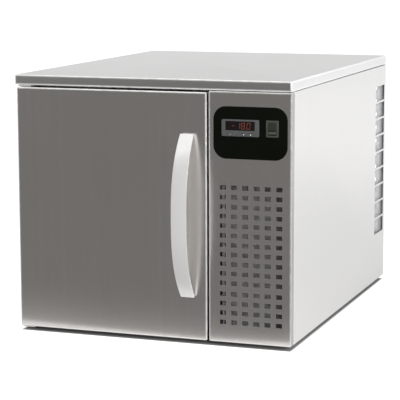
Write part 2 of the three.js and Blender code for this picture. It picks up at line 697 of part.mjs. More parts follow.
// ---------------------------------------------------------------- fans and coils
// A rotor about the y axis, from y = 0 back to y = depth: a hub and pitched blades
function fanRotor(radius, hub, depth) {
  const spread = THREE.MathUtils.degToRad(BLADE_SPREAD);
  const outline = new THREE.Shape();
  outline.absarc(0, 0, radius, -spread / 2, spread / 2, false);
  outline.lineTo(hub - BLADE_THICKNESS * 2, BLADE_THICKNESS * 2);
  outline.lineTo(hub - BLADE_THICKNESS * 2, -BLADE_THICKNESS * 2);
  const blades = steps(BLADES, (2 * Math.PI) / BLADES).map((angle) =>
    upright(outline, [-BLADE_THICKNESS / 2, BLADE_THICKNESS / 2])
      .rotateX(THREE.MathUtils.degToRad(BLADE_PITCH))
      .rotateY(angle)
      .translate(0, depth / 2, 0));
  return join(rod('y', hub, [0, depth], [0, 0], ROUND_HUB), ...blades);
}

// A motor behind a rotor, on three arms whose feet reach forward to the plate that carries them
function fanMotor(radius, armReach, forward) {
  const arms = steps(MOTOR_ARMS, (2 * Math.PI) / MOTOR_ARMS).flatMap((angle) => [
    block([0, armReach], [MOTOR_ARM, 2 * MOTOR_ARM], [-MOTOR_ARM, MOTOR_ARM]).rotateY(angle),
    block([armReach - MOTOR_ARM, armReach], [-forward, 2 * MOTOR_ARM], [-MOTOR_ARM, MOTOR_ARM])
      .rotateY(angle),
  ]);
  return join(rod('y', radius, [0, MOTOR_DEPTH], [0, 0], ROUND_HUB), ...arms);
}

// A finned coil: fins stand forward from a root, between two end plates that carry the tube bends
function finnedCoil(x, y, z, bendCount) {
  const count = Math.floor((x[1] - x[0]) / FIN_PITCH);
  const gaps = centred(count, FIN_PITCH, middle(x)).map((at) =>
    block([at - (FIN_PITCH - FIN_THICKNESS) / 2, at + (FIN_PITCH - FIN_THICKNESS) / 2],
      [y[0] - SHEET, y[1] - FIN_ROOT], grow(z, SHEET)));
  const fins = cut(block(x, y, z), ...gaps);
  const plates = [[x[0] - END_PLATE, x[0]], [x[1], x[1] + END_PLATE]].map((at) =>
    block(grow(at, WELD), y, z));
  const pitch = (z[1] - z[0]) / (bendCount + 1);
  const bends = centred(bendCount, pitch, middle(z)).flatMap((at) => [
    tubeBend(x[0] - END_PLATE, middle(y), at, -1),
    tubeBend(x[1] + END_PLATE, middle(y), at, 1),
  ]);
  return join(fins, ...plates, ...bends);
}

function tubeBend(x, y, z, side) {
  const out = x + side * TUBE_BEND_REACH;
  const start = x - side * END_PLATE / 2;
  return pipe([[start, y, z - TUBE_PITCH / 2], [out, y, z - TUBE_PITCH / 2],
    [out, y, z + TUBE_PITCH / 2], [start, y, z + TUBE_PITCH / 2]], TUBE_R,
  TUBE_PITCH / 2 - 1, COIL_BEND_STEPS);
}

const coverPlane = COVER_Y + GUARD_DEPTH;

function evaporatorCover() {
  const inside = rectangle(grow(CHAMBER.x, -FIT), grow(CHAMBER.z, -FIT), CHAMBER_CORNER - FIT);
  const sheet = [coverPlane, coverPlane + SHEET];
  const slotRows = grow(CHAMBER.z, -AIR_SLOT_INSET);
  const slotColumns = centred(AIR_SLOTS, CHAMBER_MID_X * 2 / (AIR_SLOTS + 2), CHAMBER_MID_X);
  return cut(upright(inside, sheet),
    rod('y', EVAPORATOR_FAN_R + FAN_CLEARANCE, grow(sheet, SHEET), [CHAMBER_MID_X, CHAMBER_MID_Z],
      ROUND_LARGE),
    ...holes(slotColumns, slotRows, AIR_SLOT_WIDTH, AIR_SLOT_HEIGHT, grow(sheet, SHEET)));
}

function fanGuard(outer) {
  const rings = steps(GUARD_RINGS, 1).map((i) =>
    new THREE.TorusGeometry((outer * (i + 1)) / GUARD_RINGS, WIRE_R, 4, ROUND_RING).rotateX(Math.PI / 2));
  const spokes = steps(GUARD_SPOKES, (2 * Math.PI) / GUARD_SPOKES).map((angle) =>
    rod('x', SPOKE_R, [outer / GUARD_RINGS, outer], [0, 0], 4).rotateY(angle));
  return join(...rings, ...spokes);
}

function dripTray() {
  const x = [CHAMBER_MID_X - DRIP_TRAY_WIDTH / 2, CHAMBER_MID_X + DRIP_TRAY_WIDTH / 2];
  const y = [COIL_FRONT - SHEET, CHAMBER.back - FIT];
  const z = [CHAMBER.z[0] + FIT, CHAMBER.z[0] + FIT + DRIP_TRAY_HEIGHT];
  return cut(block(x, y, z),
    block(grow(x, -SHEET), grow(y, -SHEET), [z[0] + SHEET, z[1] + SHEET]),
    rod('y', DRAIN_R - DRAIN_WALL, grow([y[1] - SHEET, y[1]], SHEET / 2), [CHAMBER_MID_X, DRAIN_Z],
      ROUND_SMALL));
}

function drainSpout() {
  const length = [CHAMBER.back + SHEET / 2, DEPTH + DRAIN_REACH];
  return cut(rod('y', DRAIN_R, length, [CHAMBER_MID_X, DRAIN_Z]),
    rod('y', DRAIN_R - DRAIN_WALL, grow(length, SHEET), [CHAMBER_MID_X, DRAIN_Z]));
}

add('evaporator_cover', evaporatorCover(), LINER_STEEL);
add('evaporator_fan_guard', fanGuard(EVAPORATOR_FAN_R + FAN_CLEARANCE + GUARD_MARGIN), WIRE_STEEL)
  .position.set(CHAMBER_MID_X, coverPlane - FIT - WIRE_R, CHAMBER_MID_Z);
add('evaporator_fan', fanRotor(EVAPORATOR_FAN_R, EVAPORATOR_HUB_R, FAN_DEPTH), BLACK_PLASTIC)
  .position.set(CHAMBER_MID_X, ROTOR_Y, CHAMBER_MID_Z);
add('evaporator_fan_motor',
  fanMotor(EVAPORATOR_HUB_R, EVAPORATOR_FAN_R + FAN_CLEARANCE + GUARD_MARGIN,
    FAN_DEPTH + ROTOR_GAP),
  BLACK_ENAMEL).position.set(CHAMBER_MID_X, ROTOR_Y + FAN_DEPTH + FIT, CHAMBER_MID_Z);
add('evaporator_coil',
  finnedCoil([CHAMBER_MID_X - EVAPORATOR_COIL_WIDTH / 2, CHAMBER_MID_X + EVAPORATOR_COIL_WIDTH / 2],
    [COIL_FRONT, CHAMBER.back - FIT],
    [CHAMBER.z[0] + DRIP_TRAY_HEIGHT + COIL_CLEARANCE, CHAMBER.z[1] - COIL_CLEARANCE], COIL_BENDS),
  ALUMINIUM);
add('drip_tray', dripTray(), LINER_STEEL);
add('drain_spout', drainSpout(), WHITE_PLASTIC);
add('air_sensor', rod('z', SENSOR_R, [0, SENSOR_LENGTH], [0, 0], ROUND_TINY), WIRE_STEEL)
  .position.set(CHAMBER.x[1] - SENSOR_INSET, coverPlane - FIT - SENSOR_R, CHAMBER.z[1] - SENSOR_DROP);

// ---------------------------------------------------------------- condensing unit
const condenserX = grow(BAY, -CONDENSER_SIDE_ROOM);
const condenserBack = CONDENSER_Y + CONDENSER_DEPTH;
const shroudPlane = condenserBack + FIT;

// A plate across the bay with a hole for the fan and a ring round it
function condenserShroud() {
  const sheet = [shroudPlane, shroudPlane + SHEET];
  const hole = CONDENSER_FAN_R + FAN_CLEARANCE;
  const centre = [BAY_MID_X, CONDENSER_FAN_Z];
  const plate = block(grow(BAY, -SHROUD_SIDE_ROOM), sheet, [FLOOR_Z, CONDENSER_TOP]);
  const ring = rod('y', hole + SHEET, [sheet[0], sheet[1] + SHROUD_DEPTH], centre, ROUND_LARGE);
  return cut(join(plate, ring),
    rod('y', hole, [sheet[0] - SHEET, sheet[1] + 2 * SHROUD_DEPTH], centre, ROUND_LARGE));
}

// The sealed shell on its mounting plate, with the two stubs that the lines are brazed to
function compressor() {
  const wall = COMPRESSOR_R - SEAM_PROUD;
  const shell = turned([[0, 0], [COMPRESSOR_R - DOME, 0], [wall, DOME], [wall, SEAM_Z[0] - SEAM_PROUD],
    [COMPRESSOR_R, SEAM_Z[0]], [COMPRESSOR_R, SEAM_Z[1]], [wall, SEAM_Z[1] + SEAM_PROUD],
    [wall, COMPRESSOR_HEIGHT - 2 * DOME], [COMPRESSOR_R - DOME, COMPRESSOR_HEIGHT - DOME / 2],
    [0, COMPRESSOR_HEIGHT]], ROUND_HUB);
  const margin = GROMMET_R + MOUNT_MARGIN;
  const plate = block(grow([-MOUNT_SPACING_X / 2, MOUNT_SPACING_X / 2], margin),
    grow([-MOUNT_SPACING_Y / 2, MOUNT_SPACING_Y / 2], margin), [0, MOUNT_PLATE]);
  const stub = (radius, x, ends) => rod('y', radius, ends, [x, STUB_HEIGHT], ROUND_TINY);
  return join(shell, plate,
    stub(DISCHARGE_R, DISCHARGE_X, [-COMPRESSOR_R - STUB_REACH, -COMPRESSOR_R / 2]),
    stub(SUCTION_R, -DISCHARGE_X, [COMPRESSOR_R / 2, COMPRESSOR_R + STUB_REACH]));
}

function grommet() {
  const waist = GROMMET_R - GROMMET_WAIST;
  const third = GROMMET_HEIGHT / 3;
  return turned([[0, 0], [GROMMET_R, 0], [GROMMET_R, third], [waist, 1.5 * third],
    [GROMMET_R, 2 * third], [GROMMET_R, GROMMET_HEIGHT], [0, GROMMET_HEIGHT]], ROUND_TINY);
}

const plateZ = FLOOR_Z + GROMMET_HEIGHT + FIT;
const stubZ = plateZ + STUB_HEIGHT;
const rightLane = BAY[1] - LANE;
const condenserRight = condenserX[1] + END_PLATE + FIT;
const condenserMid = CONDENSER_Y + CONDENSER_DEPTH / 2;
const stubEnd = COMPRESSOR_R + STUB_REACH + FIT;
const drier = { x: BAY_MID_X + DRIER_OFFSET, y: COMPRESSOR_Y - MOUNT_SPACING_Y / 2 - DRIER_CLEARANCE };
const drierZ = [FLOOR_Z + DRIER_RISE, FLOOR_Z + DRIER_RISE + DRIER_LENGTH];

function dischargeLine() {
  const start = [BAY_MID_X + DISCHARGE_X, COMPRESSOR_Y - stubEnd, stubZ];
  const turn = start[1] - 2 * LINE_BEND;
  const inlet = CONDENSER_TOP - LINE_FROM_END;
  return pipe([start, [start[0], turn, stubZ], [rightLane, turn, stubZ], [rightLane, turn, inlet],
    [rightLane, condenserMid, inlet], [condenserRight, condenserMid, inlet]],
  DISCHARGE_R, LINE_BEND, LINE_STEPS);
}

function liquidLine() {
  const outlet = FLOOR_Z + LINE_FROM_END;
  return pipe([[condenserRight, condenserMid, outlet], [rightLane, condenserMid, outlet],
    [rightLane, drier.y, outlet], [drier.x, drier.y, outlet], [drier.x, drier.y, drierZ[0] - FIT]],
  DISCHARGE_R, LINE_BEND, LINE_STEPS);
}

function capillaryLine() {
  return pipe([[drier.x, drier.y, drierZ[1] + FIT], [drier.x, drier.y, CAPILLARY.z],
    [drier.x, CAPILLARY.y, CAPILLARY.z], [COIL_END_X, CAPILLARY.y, CAPILLARY.z]],
  CAPILLARY_R, LINE_BEND, LINE_STEPS);
}

function suctionLine() {
  const x = BAY_MID_X - DISCHARGE_X;
  return pipe([[COIL_END_X, SUCTION.y, SUCTION.z], [x, SUCTION.y, SUCTION.z], [x, SUCTION.y, stubZ],
    [x, COMPRESSOR_Y + stubEnd, stubZ]], SUCTION_R, SUCTION_BEND, LINE_STEPS);
}

function filterDrier() {
  const [z0, z1] = drierZ;
  return turned([[0, z0], [DISCHARGE_R + 1, z0], [DRIER_R, z0 + DRIER_CONE], [DRIER_R, z1 - DRIER_CONE],
    [DISCHARGE_R + 1, z1], [0, z1]], ROUND_RING).translate(drier.x, drier.y, 0);
}

add('condenser_coil',
  finnedCoil(condenserX, [CONDENSER_Y, condenserBack], [FLOOR_Z, CONDENSER_TOP], COIL_BENDS), ALUMINIUM);
add('condenser_shroud', condenserShroud(), GALVANISED);
add('condenser_fan', fanRotor(CONDENSER_FAN_R, CONDENSER_HUB_R, FAN_DEPTH), ALUMINIUM)
  .position.set(BAY_MID_X, shroudPlane + SHEET + ROTOR_GAP, CONDENSER_FAN_Z);
add('condenser_fan_motor',
  fanMotor(CONDENSER_HUB_R, CONDENSER_FAN_R + FAN_CLEARANCE + GUARD_MARGIN, FAN_DEPTH + ROTOR_GAP),
  BLACK_ENAMEL).position.set(BAY_MID_X, shroudPlane + SHEET + ROTOR_GAP + FAN_DEPTH + FIT, CONDENSER_FAN_Z);
add('compressor', compressor(), BLACK_ENAMEL).position.set(BAY_MID_X, COMPRESSOR_Y, plateZ);
for (const [end, y] of [['front', -MOUNT_SPACING_Y / 2], ['rear', MOUNT_SPACING_Y / 2]]) {
  for (const [side, x] of [['left', -MOUNT_SPACING_X / 2], ['right', MOUNT_SPACING_X / 2]]) {
    add(`compressor_grommet_${end}_${side}`, grommet(), RUBBER)
      .position.set(BAY_MID_X + x, COMPRESSOR_Y + y, FLOOR_Z);
  }
}
add('filter_drier', filterDrier(), COPPER);
add('discharge_line', dischargeLine(), COPPER);
add('liquid_line', liquidLine(), COPPER);
add('capillary_line', capillaryLine(), COPPER);
add('suction_line', suctionLine(), COPPER);
add('electrical_box',
  roundedBlock([BAY[0] + FIT, BAY[0] + FIT + ELECTRIC_WIDTH],
    [ELECTRIC_Y, ELECTRIC_Y + ELECTRIC_DEPTH],
    [HEIGHT - ELECTRIC_DROP - ELECTRIC_HEIGHT, HEIGHT - ELECTRIC_DROP], ELECTRIC_CORNER,
    ELECTRIC_EDGE),
  WHITE_PLASTIC);

// The mains gland: a hexagon outside, a threaded barrel through the back panel
function cordGland() {
  const barrel = rod('y', GLAND_R, [BACK_Y - GLAND_DEPTH, DEPTH + REAR_REACH], [0, 0]);
  const hexagon = rod('y', GLAND_FLANGE_R, [DEPTH + FIT, DEPTH + FIT + GLAND_HEXAGON],
    [0, 0], HEXAGON_SIDES);
  return cut(join(barrel, hexagon),
    rod('y', GLAND_BORE_R, [BACK_Y - 2 * GLAND_DEPTH, DEPTH + 2 * REAR_REACH], [0, 0]));
}
add('cord_gland', cordGland(), BLACK_PLASTIC).position.set(BAY_MID_X, 0, GLAND_HEIGHT);

// ---------------------------------------------------------------- controls
function controlPlate() {
  const sheet = [PLATE_FRONT, -GLUE];
  return cut(upright(rectangle(PLATE.x, PLATE.z, PLATE_CORNER), sheet, PLATE_EDGE),
    bodyHole(THERMOSTAT, THERMOSTAT_BODY_MARGIN), bodyHole(SWITCH, SWITCH_BODY_MARGIN));
}

const windowZ = [THERMOSTAT.z[1] - WINDOW_DROP - WINDOW_HEIGHT, THERMOSTAT.z[1] - WINDOW_DROP];
const windowX = [middle(THERMOSTAT.x) - WINDOW_WIDTH / 2, middle(THERMOSTAT.x) + WINDOW_WIDTH / 2];
const keyX = (name) => THERMOSTAT.x[0] + KEY_OFFSETS[name];
const keyZ = THERMOSTAT.z[1] - KEY_DROP;

function thermostatCase() {
  const rim = roundedBlock(THERMOSTAT.x, [THERMOSTAT_FRONT, RIM_BACK], THERMOSTAT.z, RIM_CORNER,
    RIM_EDGE);
  const body = block(grow(THERMOSTAT.x, -THERMOSTAT_BODY_MARGIN),
    [RIM_BACK - RIM_OVERLAP, THERMOSTAT_BODY_DEPTH], grow(THERMOSTAT.z, -THERMOSTAT_BODY_MARGIN));
  const pocket = block(grow(windowX, FIT),
    [THERMOSTAT_FRONT - SHEET, THERMOSTAT_FRONT + WINDOW_INSET + WINDOW_THICKNESS + FIT],
    grow(windowZ, FIT));
  const keyPockets = holes(Object.keys(KEY_OFFSETS).map(keyX), [keyZ], KEY_WIDTH + 2 * FIT,
    KEY_HEIGHT + 2 * FIT, [THERMOSTAT_FRONT - SHEET, THERMOSTAT_FRONT + KEY_POCKET]);
  return cut(join(rim, body), pocket, ...keyPockets);
}

function key() {
  return roundedBlock([-KEY_WIDTH / 2, KEY_WIDTH / 2], [-KEY_PROUD, KEY_DEPTH - KEY_PROUD],
    [-KEY_HEIGHT / 2, KEY_HEIGHT / 2], KEY_CORNER, 0);
}

add('control_plate', controlPlate(), BLACK_PLASTIC);
add('thermostat_case', thermostatCase(), RIM_GREY);
add('display_window',
  block(windowX, [THERMOSTAT_FRONT + WINDOW_INSET, THERMOSTAT_FRONT + WINDOW_INSET + WINDOW_THICKNESS],
    windowZ),
  DARK_WINDOW);
for (const name of Object.keys(KEY_OFFSETS)) {
  add(`key_${name}`, key(), KEY_WHITE).position.set(keyX(name), THERMOSTAT_FRONT, keyZ);
}

function switchHousing() {
  const rim = roundedBlock(SWITCH.x, [SWITCH_FRONT, RIM_BACK], SWITCH.z, RIM_CORNER, RIM_EDGE);
  const body = block(grow(SWITCH.x, -SWITCH_BODY_MARGIN), [RIM_BACK - RIM_OVERLAP, SWITCH_BODY_DEPTH],
    grow(SWITCH.z, -SWITCH_BODY_MARGIN));
  const pocket = holes([middle(SWITCH.x)], [middle(SWITCH.z)], ROCKER_WIDTH + 2 * FIT,
    ROCKER_HEIGHT + 2 * ROCKER_END_GAP, [SWITCH_FRONT - SHEET, SWITCH_FRONT + ROCKER_POCKET]);
  return cut(join(rim, body), ...pocket);
}

// The rocker's face is a shallow V about the pivot, so the half that is pressed lies flush
function rocker() {
  const half = ROCKER_HEIGHT / 2;
  const rise = half * Math.tan(THREE.MathUtils.degToRad(ROCKER_TILT));
  const front = ROCKER_FACE;
  return profile([[-front, 0], [-front - rise, -half], [-ROCKER_SKIRT, -half], [ROCKER_KEEL, -half / 2],
    [ROCKER_KEEL, half / 2], [-ROCKER_SKIRT, half], [-front - rise, half]],
  [-ROCKER_WIDTH / 2, ROCKER_WIDTH / 2]);
}

add('switch_housing', switchHousing(), RIM_GREY);
const rockerMesh = add('switch_rocker', rocker(), BLACK_PLASTIC);
rockerMesh.position.set(middle(SWITCH.x), SWITCH_FRONT + ROCKER_PIVOT, middle(SWITCH.z));
rockerMesh.rotation.x = THREE.MathUtils.degToRad(-ROCKER_TILT);

// ---------------------------------------------------------------- hinges
// A bracket is a leg on the front frame and an arm that holds the pin over or under the door
function hingeBracket(armZ, legZ, pinZ, headZ) {
  const back = CABINET_Y - FIT;
  const leg = block([DOOR_LEFT, DOOR_LEFT + BRACKET_LEG_WIDTH], [back - BRACKET_THICKNESS, back], legZ);
  const arm = block([DOOR_LEFT, DOOR_LEFT + BRACKET_ARM], [PIN_Y - BRACKET_NOSE, back], armZ);
  return join(leg, arm, rod('z', PIN_R, pinZ, [PIN_X, PIN_Y]),
    rod('z', PIN_HEAD_R, headZ, [PIN_X, PIN_Y]));
}

const upperArm = [DOOR_TOP + HINGE_GAP, DOOR_TOP + HINGE_GAP + BRACKET_THICKNESS];
const lowerArm = [DOOR_BOTTOM - HINGE_GAP - BRACKET_THICKNESS, DOOR_BOTTOM - HINGE_GAP];
add('hinge_bracket_upper',
  hingeBracket(upperArm, [upperArm[1] - BRACKET_LEG, upperArm[1]],
    [upperArm[0] - PIN_REACH, middle(upperArm)], upperArm),
  BRUSHED);
add('hinge_bracket_lower',
  hingeBracket(lowerArm, [lowerArm[0], lowerArm[0] + BRACKET_LEG],
    [middle(lowerArm), lowerArm[1] + PIN_REACH], [lowerArm[0] - PIN_HEAD, lowerArm[1]]),
  BRUSHED);

// ---------------------------------------------------------------- door
const doorX = [DOOR_LEFT, DOOR_RIGHT];
const doorZ = [DOOR_BOTTOM, DOOR_TOP];
const linerY = [DOOR_THICKNESS - SHEET, DOOR_THICKNESS];
const skinBack = linerY[0] - FIT;
const bushZ = [[DOOR_BOTTOM, DOOR_BOTTOM + PIN_REACH], [DOOR_TOP - PIN_REACH, DOOR_TOP]];

function bushPockets(radius, by) {
  return bushZ.map((ends) => rod('z', radius, grow(ends, by), [PIN_X, PIN_Y]));
}

function doorSkin() {
  return cut(foldedTray(doorX, [0, skinBack], doorZ, DOOR_CORNER, DOOR_BEND),
    ...bushPockets(BUSH_R + FIT, SHEET));
}

// A raised field inside the gasket, drawn smaller by inset on every side
function doorField(inset) {
  const margin = BREAKER_WIDTH + GASKET_CLEAR - DOOR_FIELD_MARGIN - inset;
  const top = DOOR_THICKNESS + DOOR_FIELD_RISE - inset;
  return roundedBlock(grow(CHAMBER.x, margin), [linerY[0] - 2 * DOOR_FIELD_RISE, top],
    grow(CHAMBER.z, margin), CHAMBER_CORNER - inset, DOOR_BEND - inset);
}

function doorInsulation() {
  const inset = SHEET + SLACK;
  const slab = roundedBlock(grow(doorX, -inset), [inset, skinBack], grow(doorZ, -inset),
    DOOR_CORNER - SHEET, DOOR_BEND - SHEET);
  return cut(join(slab, doorField(SHEET + FIT)), ...bushPockets(BUSH_R + FIT, SHEET));
}

// The inner face is one sheet with the raised field
function doorLiner() {
  const sheet = block(grow(doorX, -FIT), linerY, grow(doorZ, -FIT));
  const behind = block(grow(doorX, SHEET), [0, linerY[0]], grow(doorZ, SHEET));
  return cut(join(sheet, doorField(0)), behind, doorField(SHEET));
}

function doorGasket() {
  const inner = BREAKER_WIDTH + GASKET_CLEAR;
  const outer = inner + GASKET_WIDTH;
  const ends = [DOOR_THICKNESS + FIT, CABINET_Y - FIT];
  return cut(upright(opening(outer), ends, GASKET_LIP), upright(opening(inner), grow(ends, SHEET)));
}

// The bow handle: y = -reach (1 - |t|^curve) on its outside, and a shorter, shallower bow inside
function doorHandle() {
  const bow = (reach, half) => centred(HANDLE_STEPS + 1, 2 / HANDLE_STEPS, 0).map((t) =>
    [-reach * (1 - Math.abs(t) ** HANDLE_CURVE), half * t]);
  const outside = bow(HANDLE_REACH, HANDLE_LENGTH / 2);
  const inside = bow(HANDLE_REACH - HANDLE_THICKNESS, HANDLE_LENGTH / 2 - HANDLE_FOOT);
  const width = [HANDLE_X - HANDLE_WIDTH / 2, HANDLE_X + HANDLE_WIDTH / 2];
  return profile([...outside, ...inside.reverse()], width, HANDLE_EDGE)
    .translate(0, -FIT, DOOR_MID_Z + HANDLE_RAISE);
}

function hingeBush(ends) {
  return cut(rod('z', BUSH_R, ends, [PIN_X, PIN_Y]),
    rod('z', PIN_R + RUNNING_FIT, grow(ends, SHEET), [PIN_X, PIN_Y]));
}

add('door_skin', doorSkin(), BRUSHED, door);
add('door_insulation', doorInsulation(), FOAM, door);
add('door_liner', doorLiner(), LINER_STEEL, door);
add('door_gasket', doorGasket(), GASKET_GREY, door);
add('door_handle', doorHandle(), HANDLE_SILVER, door);
add('hinge_bush_lower', hingeBush(bushZ[0]), WHITE_PLASTIC, door);
add('hinge_bush_upper', hingeBush(bushZ[1]), WHITE_PLASTIC, door);

// The origin is under the middle of the outline, which runs from the handle to the mains gland
chiller.position.set(-WIDTH / 2, -(DEPTH + REAR_REACH - HANDLE_REACH - FIT) / 2, 0);

export default chiller;
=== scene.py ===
# %% [markdown]
# A countertop blast chiller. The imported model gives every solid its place, and this file gives
# each one its fine surface: folded sheet steel, moulded plastic, a bow handle, fins and wires.
# Everything is in metres, with +Z up and the front facing -Y.

# %% The frame
import json
from math import cos, pi, radians, sin
import bpy
from mathutils import Matrix, Vector

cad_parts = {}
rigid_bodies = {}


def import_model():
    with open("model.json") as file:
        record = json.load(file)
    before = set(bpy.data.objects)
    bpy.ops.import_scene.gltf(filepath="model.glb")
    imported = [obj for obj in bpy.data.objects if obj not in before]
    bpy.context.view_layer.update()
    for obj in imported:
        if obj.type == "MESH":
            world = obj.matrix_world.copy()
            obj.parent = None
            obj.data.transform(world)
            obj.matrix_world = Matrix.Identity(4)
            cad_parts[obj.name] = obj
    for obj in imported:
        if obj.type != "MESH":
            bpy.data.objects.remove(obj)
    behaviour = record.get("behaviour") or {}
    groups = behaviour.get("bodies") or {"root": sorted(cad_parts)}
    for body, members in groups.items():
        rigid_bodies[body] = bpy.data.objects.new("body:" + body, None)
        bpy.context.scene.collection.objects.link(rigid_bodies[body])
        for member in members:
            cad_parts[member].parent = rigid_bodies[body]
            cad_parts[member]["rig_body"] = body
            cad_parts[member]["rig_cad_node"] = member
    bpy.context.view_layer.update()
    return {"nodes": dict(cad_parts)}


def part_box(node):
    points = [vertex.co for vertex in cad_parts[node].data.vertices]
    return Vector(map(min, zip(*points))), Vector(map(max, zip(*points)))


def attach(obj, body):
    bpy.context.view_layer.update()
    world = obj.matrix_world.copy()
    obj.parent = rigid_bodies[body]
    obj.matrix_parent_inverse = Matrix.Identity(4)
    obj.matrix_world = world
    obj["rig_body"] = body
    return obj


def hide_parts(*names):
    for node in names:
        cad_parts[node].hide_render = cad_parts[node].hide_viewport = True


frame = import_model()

MM = 0.001
LEFT, RIGHT = Vector((-1, 0, 0)), Vector((1, 0, 0))
FRONT, REAR = Vector((0, -1, 0)), Vector((0, 1, 0))
DOWN, UP = Vector((0, 0, -1)), Vector((0, 0, 1))

# %% [markdown]
# The camera comes first. A long lens from far away keeps upright edges nearly parallel, so the
# camera stands 3.5 m away, 20 degrees to the right of the front and 9 degrees above it.

# %% Camera
CAMERA_PLACE, LENS, SENSOR = (1.1692, -3.29295, 0.7754), 149.33, 36
CAMERA_TURN, CAMERA_TILT, CAMERA_ROLL = radians(19.910), radians(81.083), radians(-0.207)
bpy.ops.object.select_all(action="DESELECT")
bpy.ops.object.camera_add(location=CAMERA_PLACE)
camera = bpy.context.object
aim = Matrix.Rotation(CAMERA_TURN, 3, "Z") @ Matrix.Rotation(CAMERA_TILT, 3, "X")
camera.rotation_euler = (aim @ Matrix.Rotation(CAMERA_ROLL, 3, "Z")).to_euler()
camera.data.lens, camera.data.sensor_width = LENS, SENSOR
bpy.context.scene.camera = camera
bpy.context.scene.view_settings.view_transform = "Standard"
print("camera at", [round(v, 3) for v in camera.location])

# %% [markdown]
# Material nodes are wired up in code. A socket takes a plain value or another node's output, and a
# new node joins the tree of what feeds it, so a material reads like a short list of steps.


# %% Helpers for nodes
def plug(node, sockets):
    for label, value in sockets.items():
        if isinstance(value, bpy.types.NodeSocket):
            node.id_data.links.new(value, node.inputs[label])
        else:
            node.inputs[label].default_value = value


def wire(kind, sockets=None, tree=None, **settings):
    """Adds a node and gives its outputs. A tree is only named for a node that nothing feeds."""
    sockets = sockets or {}
    fed_by = [value for value in sockets.values() if isinstance(value, bpy.types.NodeSocket)]
    made = (tree or fed_by[0].id_data).nodes.new(kind)
    for name, value in settings.items():
        setattr(made, name, value)
    plug(made, sockets)
    return made.outputs


def sums(operation, first, second):
    return wire("ShaderNodeMath", {0: first, 1: second}, operation=operation)[0]


def times(first, second):
    return sums("MULTIPLY", first, second)


def plus(first, second):
    return sums("ADD", first, second)


def vectors(operation, first, second=(0.0, 0.0, 0.0)):
    return wire("ShaderNodeVectorMath", {0: first, 1: second}, operation=operation)[0]


def part(vector, axis):
    return wire("ShaderNodeSeparateXYZ", {0: vector})[axis]


def spread(value, low, high, first=0.0, last=1.0):
    """Turns the range from first to last into the range from low to high."""
    sockets = {"Value": value, "From Min": first, "From Max": last, "To Min": low, "To Max": high}
    return wire("ShaderNodeMapRange", sockets)[0]


def mixed(factor, first, second):
    return wire("ShaderNodeMix", {0: factor, 6: first, 7: second}, data_type="RGBA")[2]


def noise(place, scale, detail=2.0):
    return wire("ShaderNodeTexNoise", {"Vector": place, "Scale": scale, "Detail": detail})["Fac"]


def slope(place, axis):
    """How far the surface faces along an axis, in the tree that the place is in."""
    return part(wire("ShaderNodeNewGeometry", tree=place.id_data)["Normal"], axis)


def make_group(name, inputs, outputs, steps):
    """A node group. The function steps wires its inputs and gives one socket for each output."""
    tree = bpy.data.node_groups.new(name, "ShaderNodeTree")
    for label, value in inputs.items():
        kind = "NodeSocketVector" if isinstance(value, tuple) else "NodeSocketFloat"
        tree.interface.new_socket(label, in_out="INPUT", socket_type=kind).default_value = value
    for label in outputs:
        tree.interface.new_socket(label, in_out="OUTPUT", socket_type="NodeSocketFloat")
    results = steps(tree.nodes.new("NodeGroupInput").outputs)
    plug(tree.nodes.new("NodeGroupOutput"), dict(zip(outputs, results)))
    print("node group", name, "with", len(tree.nodes), "nodes")
    return tree


# %% [markdown]
# Brushed stainless steel is drawn under an abrasive belt. Noise stretched along the belt gives
# fine hairlines, the same at a coarser size gives the bands of one pass, and a cloudy noise gives
# the dull patches where hands and cloths have been.


# %% Brushed grain
def brushed_steps(source):
    drawn = vectors("MULTIPLY", source["Place"], source["Stretch"])
    hairs, bands = noise(drawn, 1.0, 3.0), noise(drawn, 0.035)
    clouds = noise(source["Place"], 7.0, 4.0)
    tone = plus(times(hairs, 0.45), plus(times(bands, 0.35), times(clouds, 0.2)))
    gloss = plus(times(clouds, 0.65), times(hairs, 0.35))
    return tone, gloss, hairs


ORIGIN, GRAIN_OUTPUTS = (0.0, 0.0, 0.0), ("Tone", "Gloss", "Height")
brushed_grain = make_group("brushed_grain", {"Place": ORIGIN, "Stretch": (1.0, 1.0, 1.0)},
                           GRAIN_OUTPUTS, brushed_steps)

# %% [markdown]
# Moulded plastic and rubber come out of a spark-eroded mould with a fine even texture. Two sizes
# of noise give the texture, and a third its shade, which is never quite even.


# %% Moulded grain
def moulded_steps(source):
    fine = noise(source["Place"], source["Size"])
    pores = noise(source["Place"], times(source["Size"], 0.3))
    shade = noise(source["Place"], 22.0, 3.0)
    tone = plus(times(shade, 0.7), times(pores, 0.3))
    return tone, shade, plus(times(fine, 0.6), times(pores, 0.4))


moulded_grain = make_group("moulded_grain", {"Place": ORIGIN, "Size": 1400.0}, GRAIN_OUTPUTS,
                           moulded_steps)

# %% [markdown]
# Edges are touched and knocked more than faces, so steel turns pale and dull there, and the same
# pale edge also serves as a painted highlight. On a box-shaped piece the distance to the nearest
# edge is the second smallest of the distances to its sides.

# %% Edge wear and painted highlight
WEAR_AND_HIGHLIGHT_WIDTH = 4 * MM


def wear_and_highlight_steps(source):
    from_low = vectors("SUBTRACT", source["Place"], source["Low"])
    from_high = vectors("SUBTRACT", source["High"], source["Place"])
    x, y, z = wire("ShaderNodeSeparateXYZ", {0: vectors("MINIMUM", from_low, from_high)})
    inner = sums("MINIMUM", sums("MAXIMUM", x, y), z)
    second = sums("MAXIMUM", sums("MINIMUM", x, y), inner)
    near = sums("SUBTRACT", 1.0, sums("DIVIDE", second, WEAR_AND_HIGHLIGHT_WIDTH))
    patchy = spread(noise(source["Place"], 60.0, 4.0), 0.7, 1.0, 0.35, 0.65)
    return [times(spread(near, 0.0, 1.0), patchy)]


edge_wear_and_highlight = make_group("edge_wear_and_highlight", {"Place": ORIGIN, "Low": ORIGIN, "High": (1.0, 1.0, 1.0)},
                      ["Mask"], wear_and_highlight_steps)

# %% [markdown]
# Dust settles on what faces up and is broken up by noise. It is only for pieces that nobody wipes.


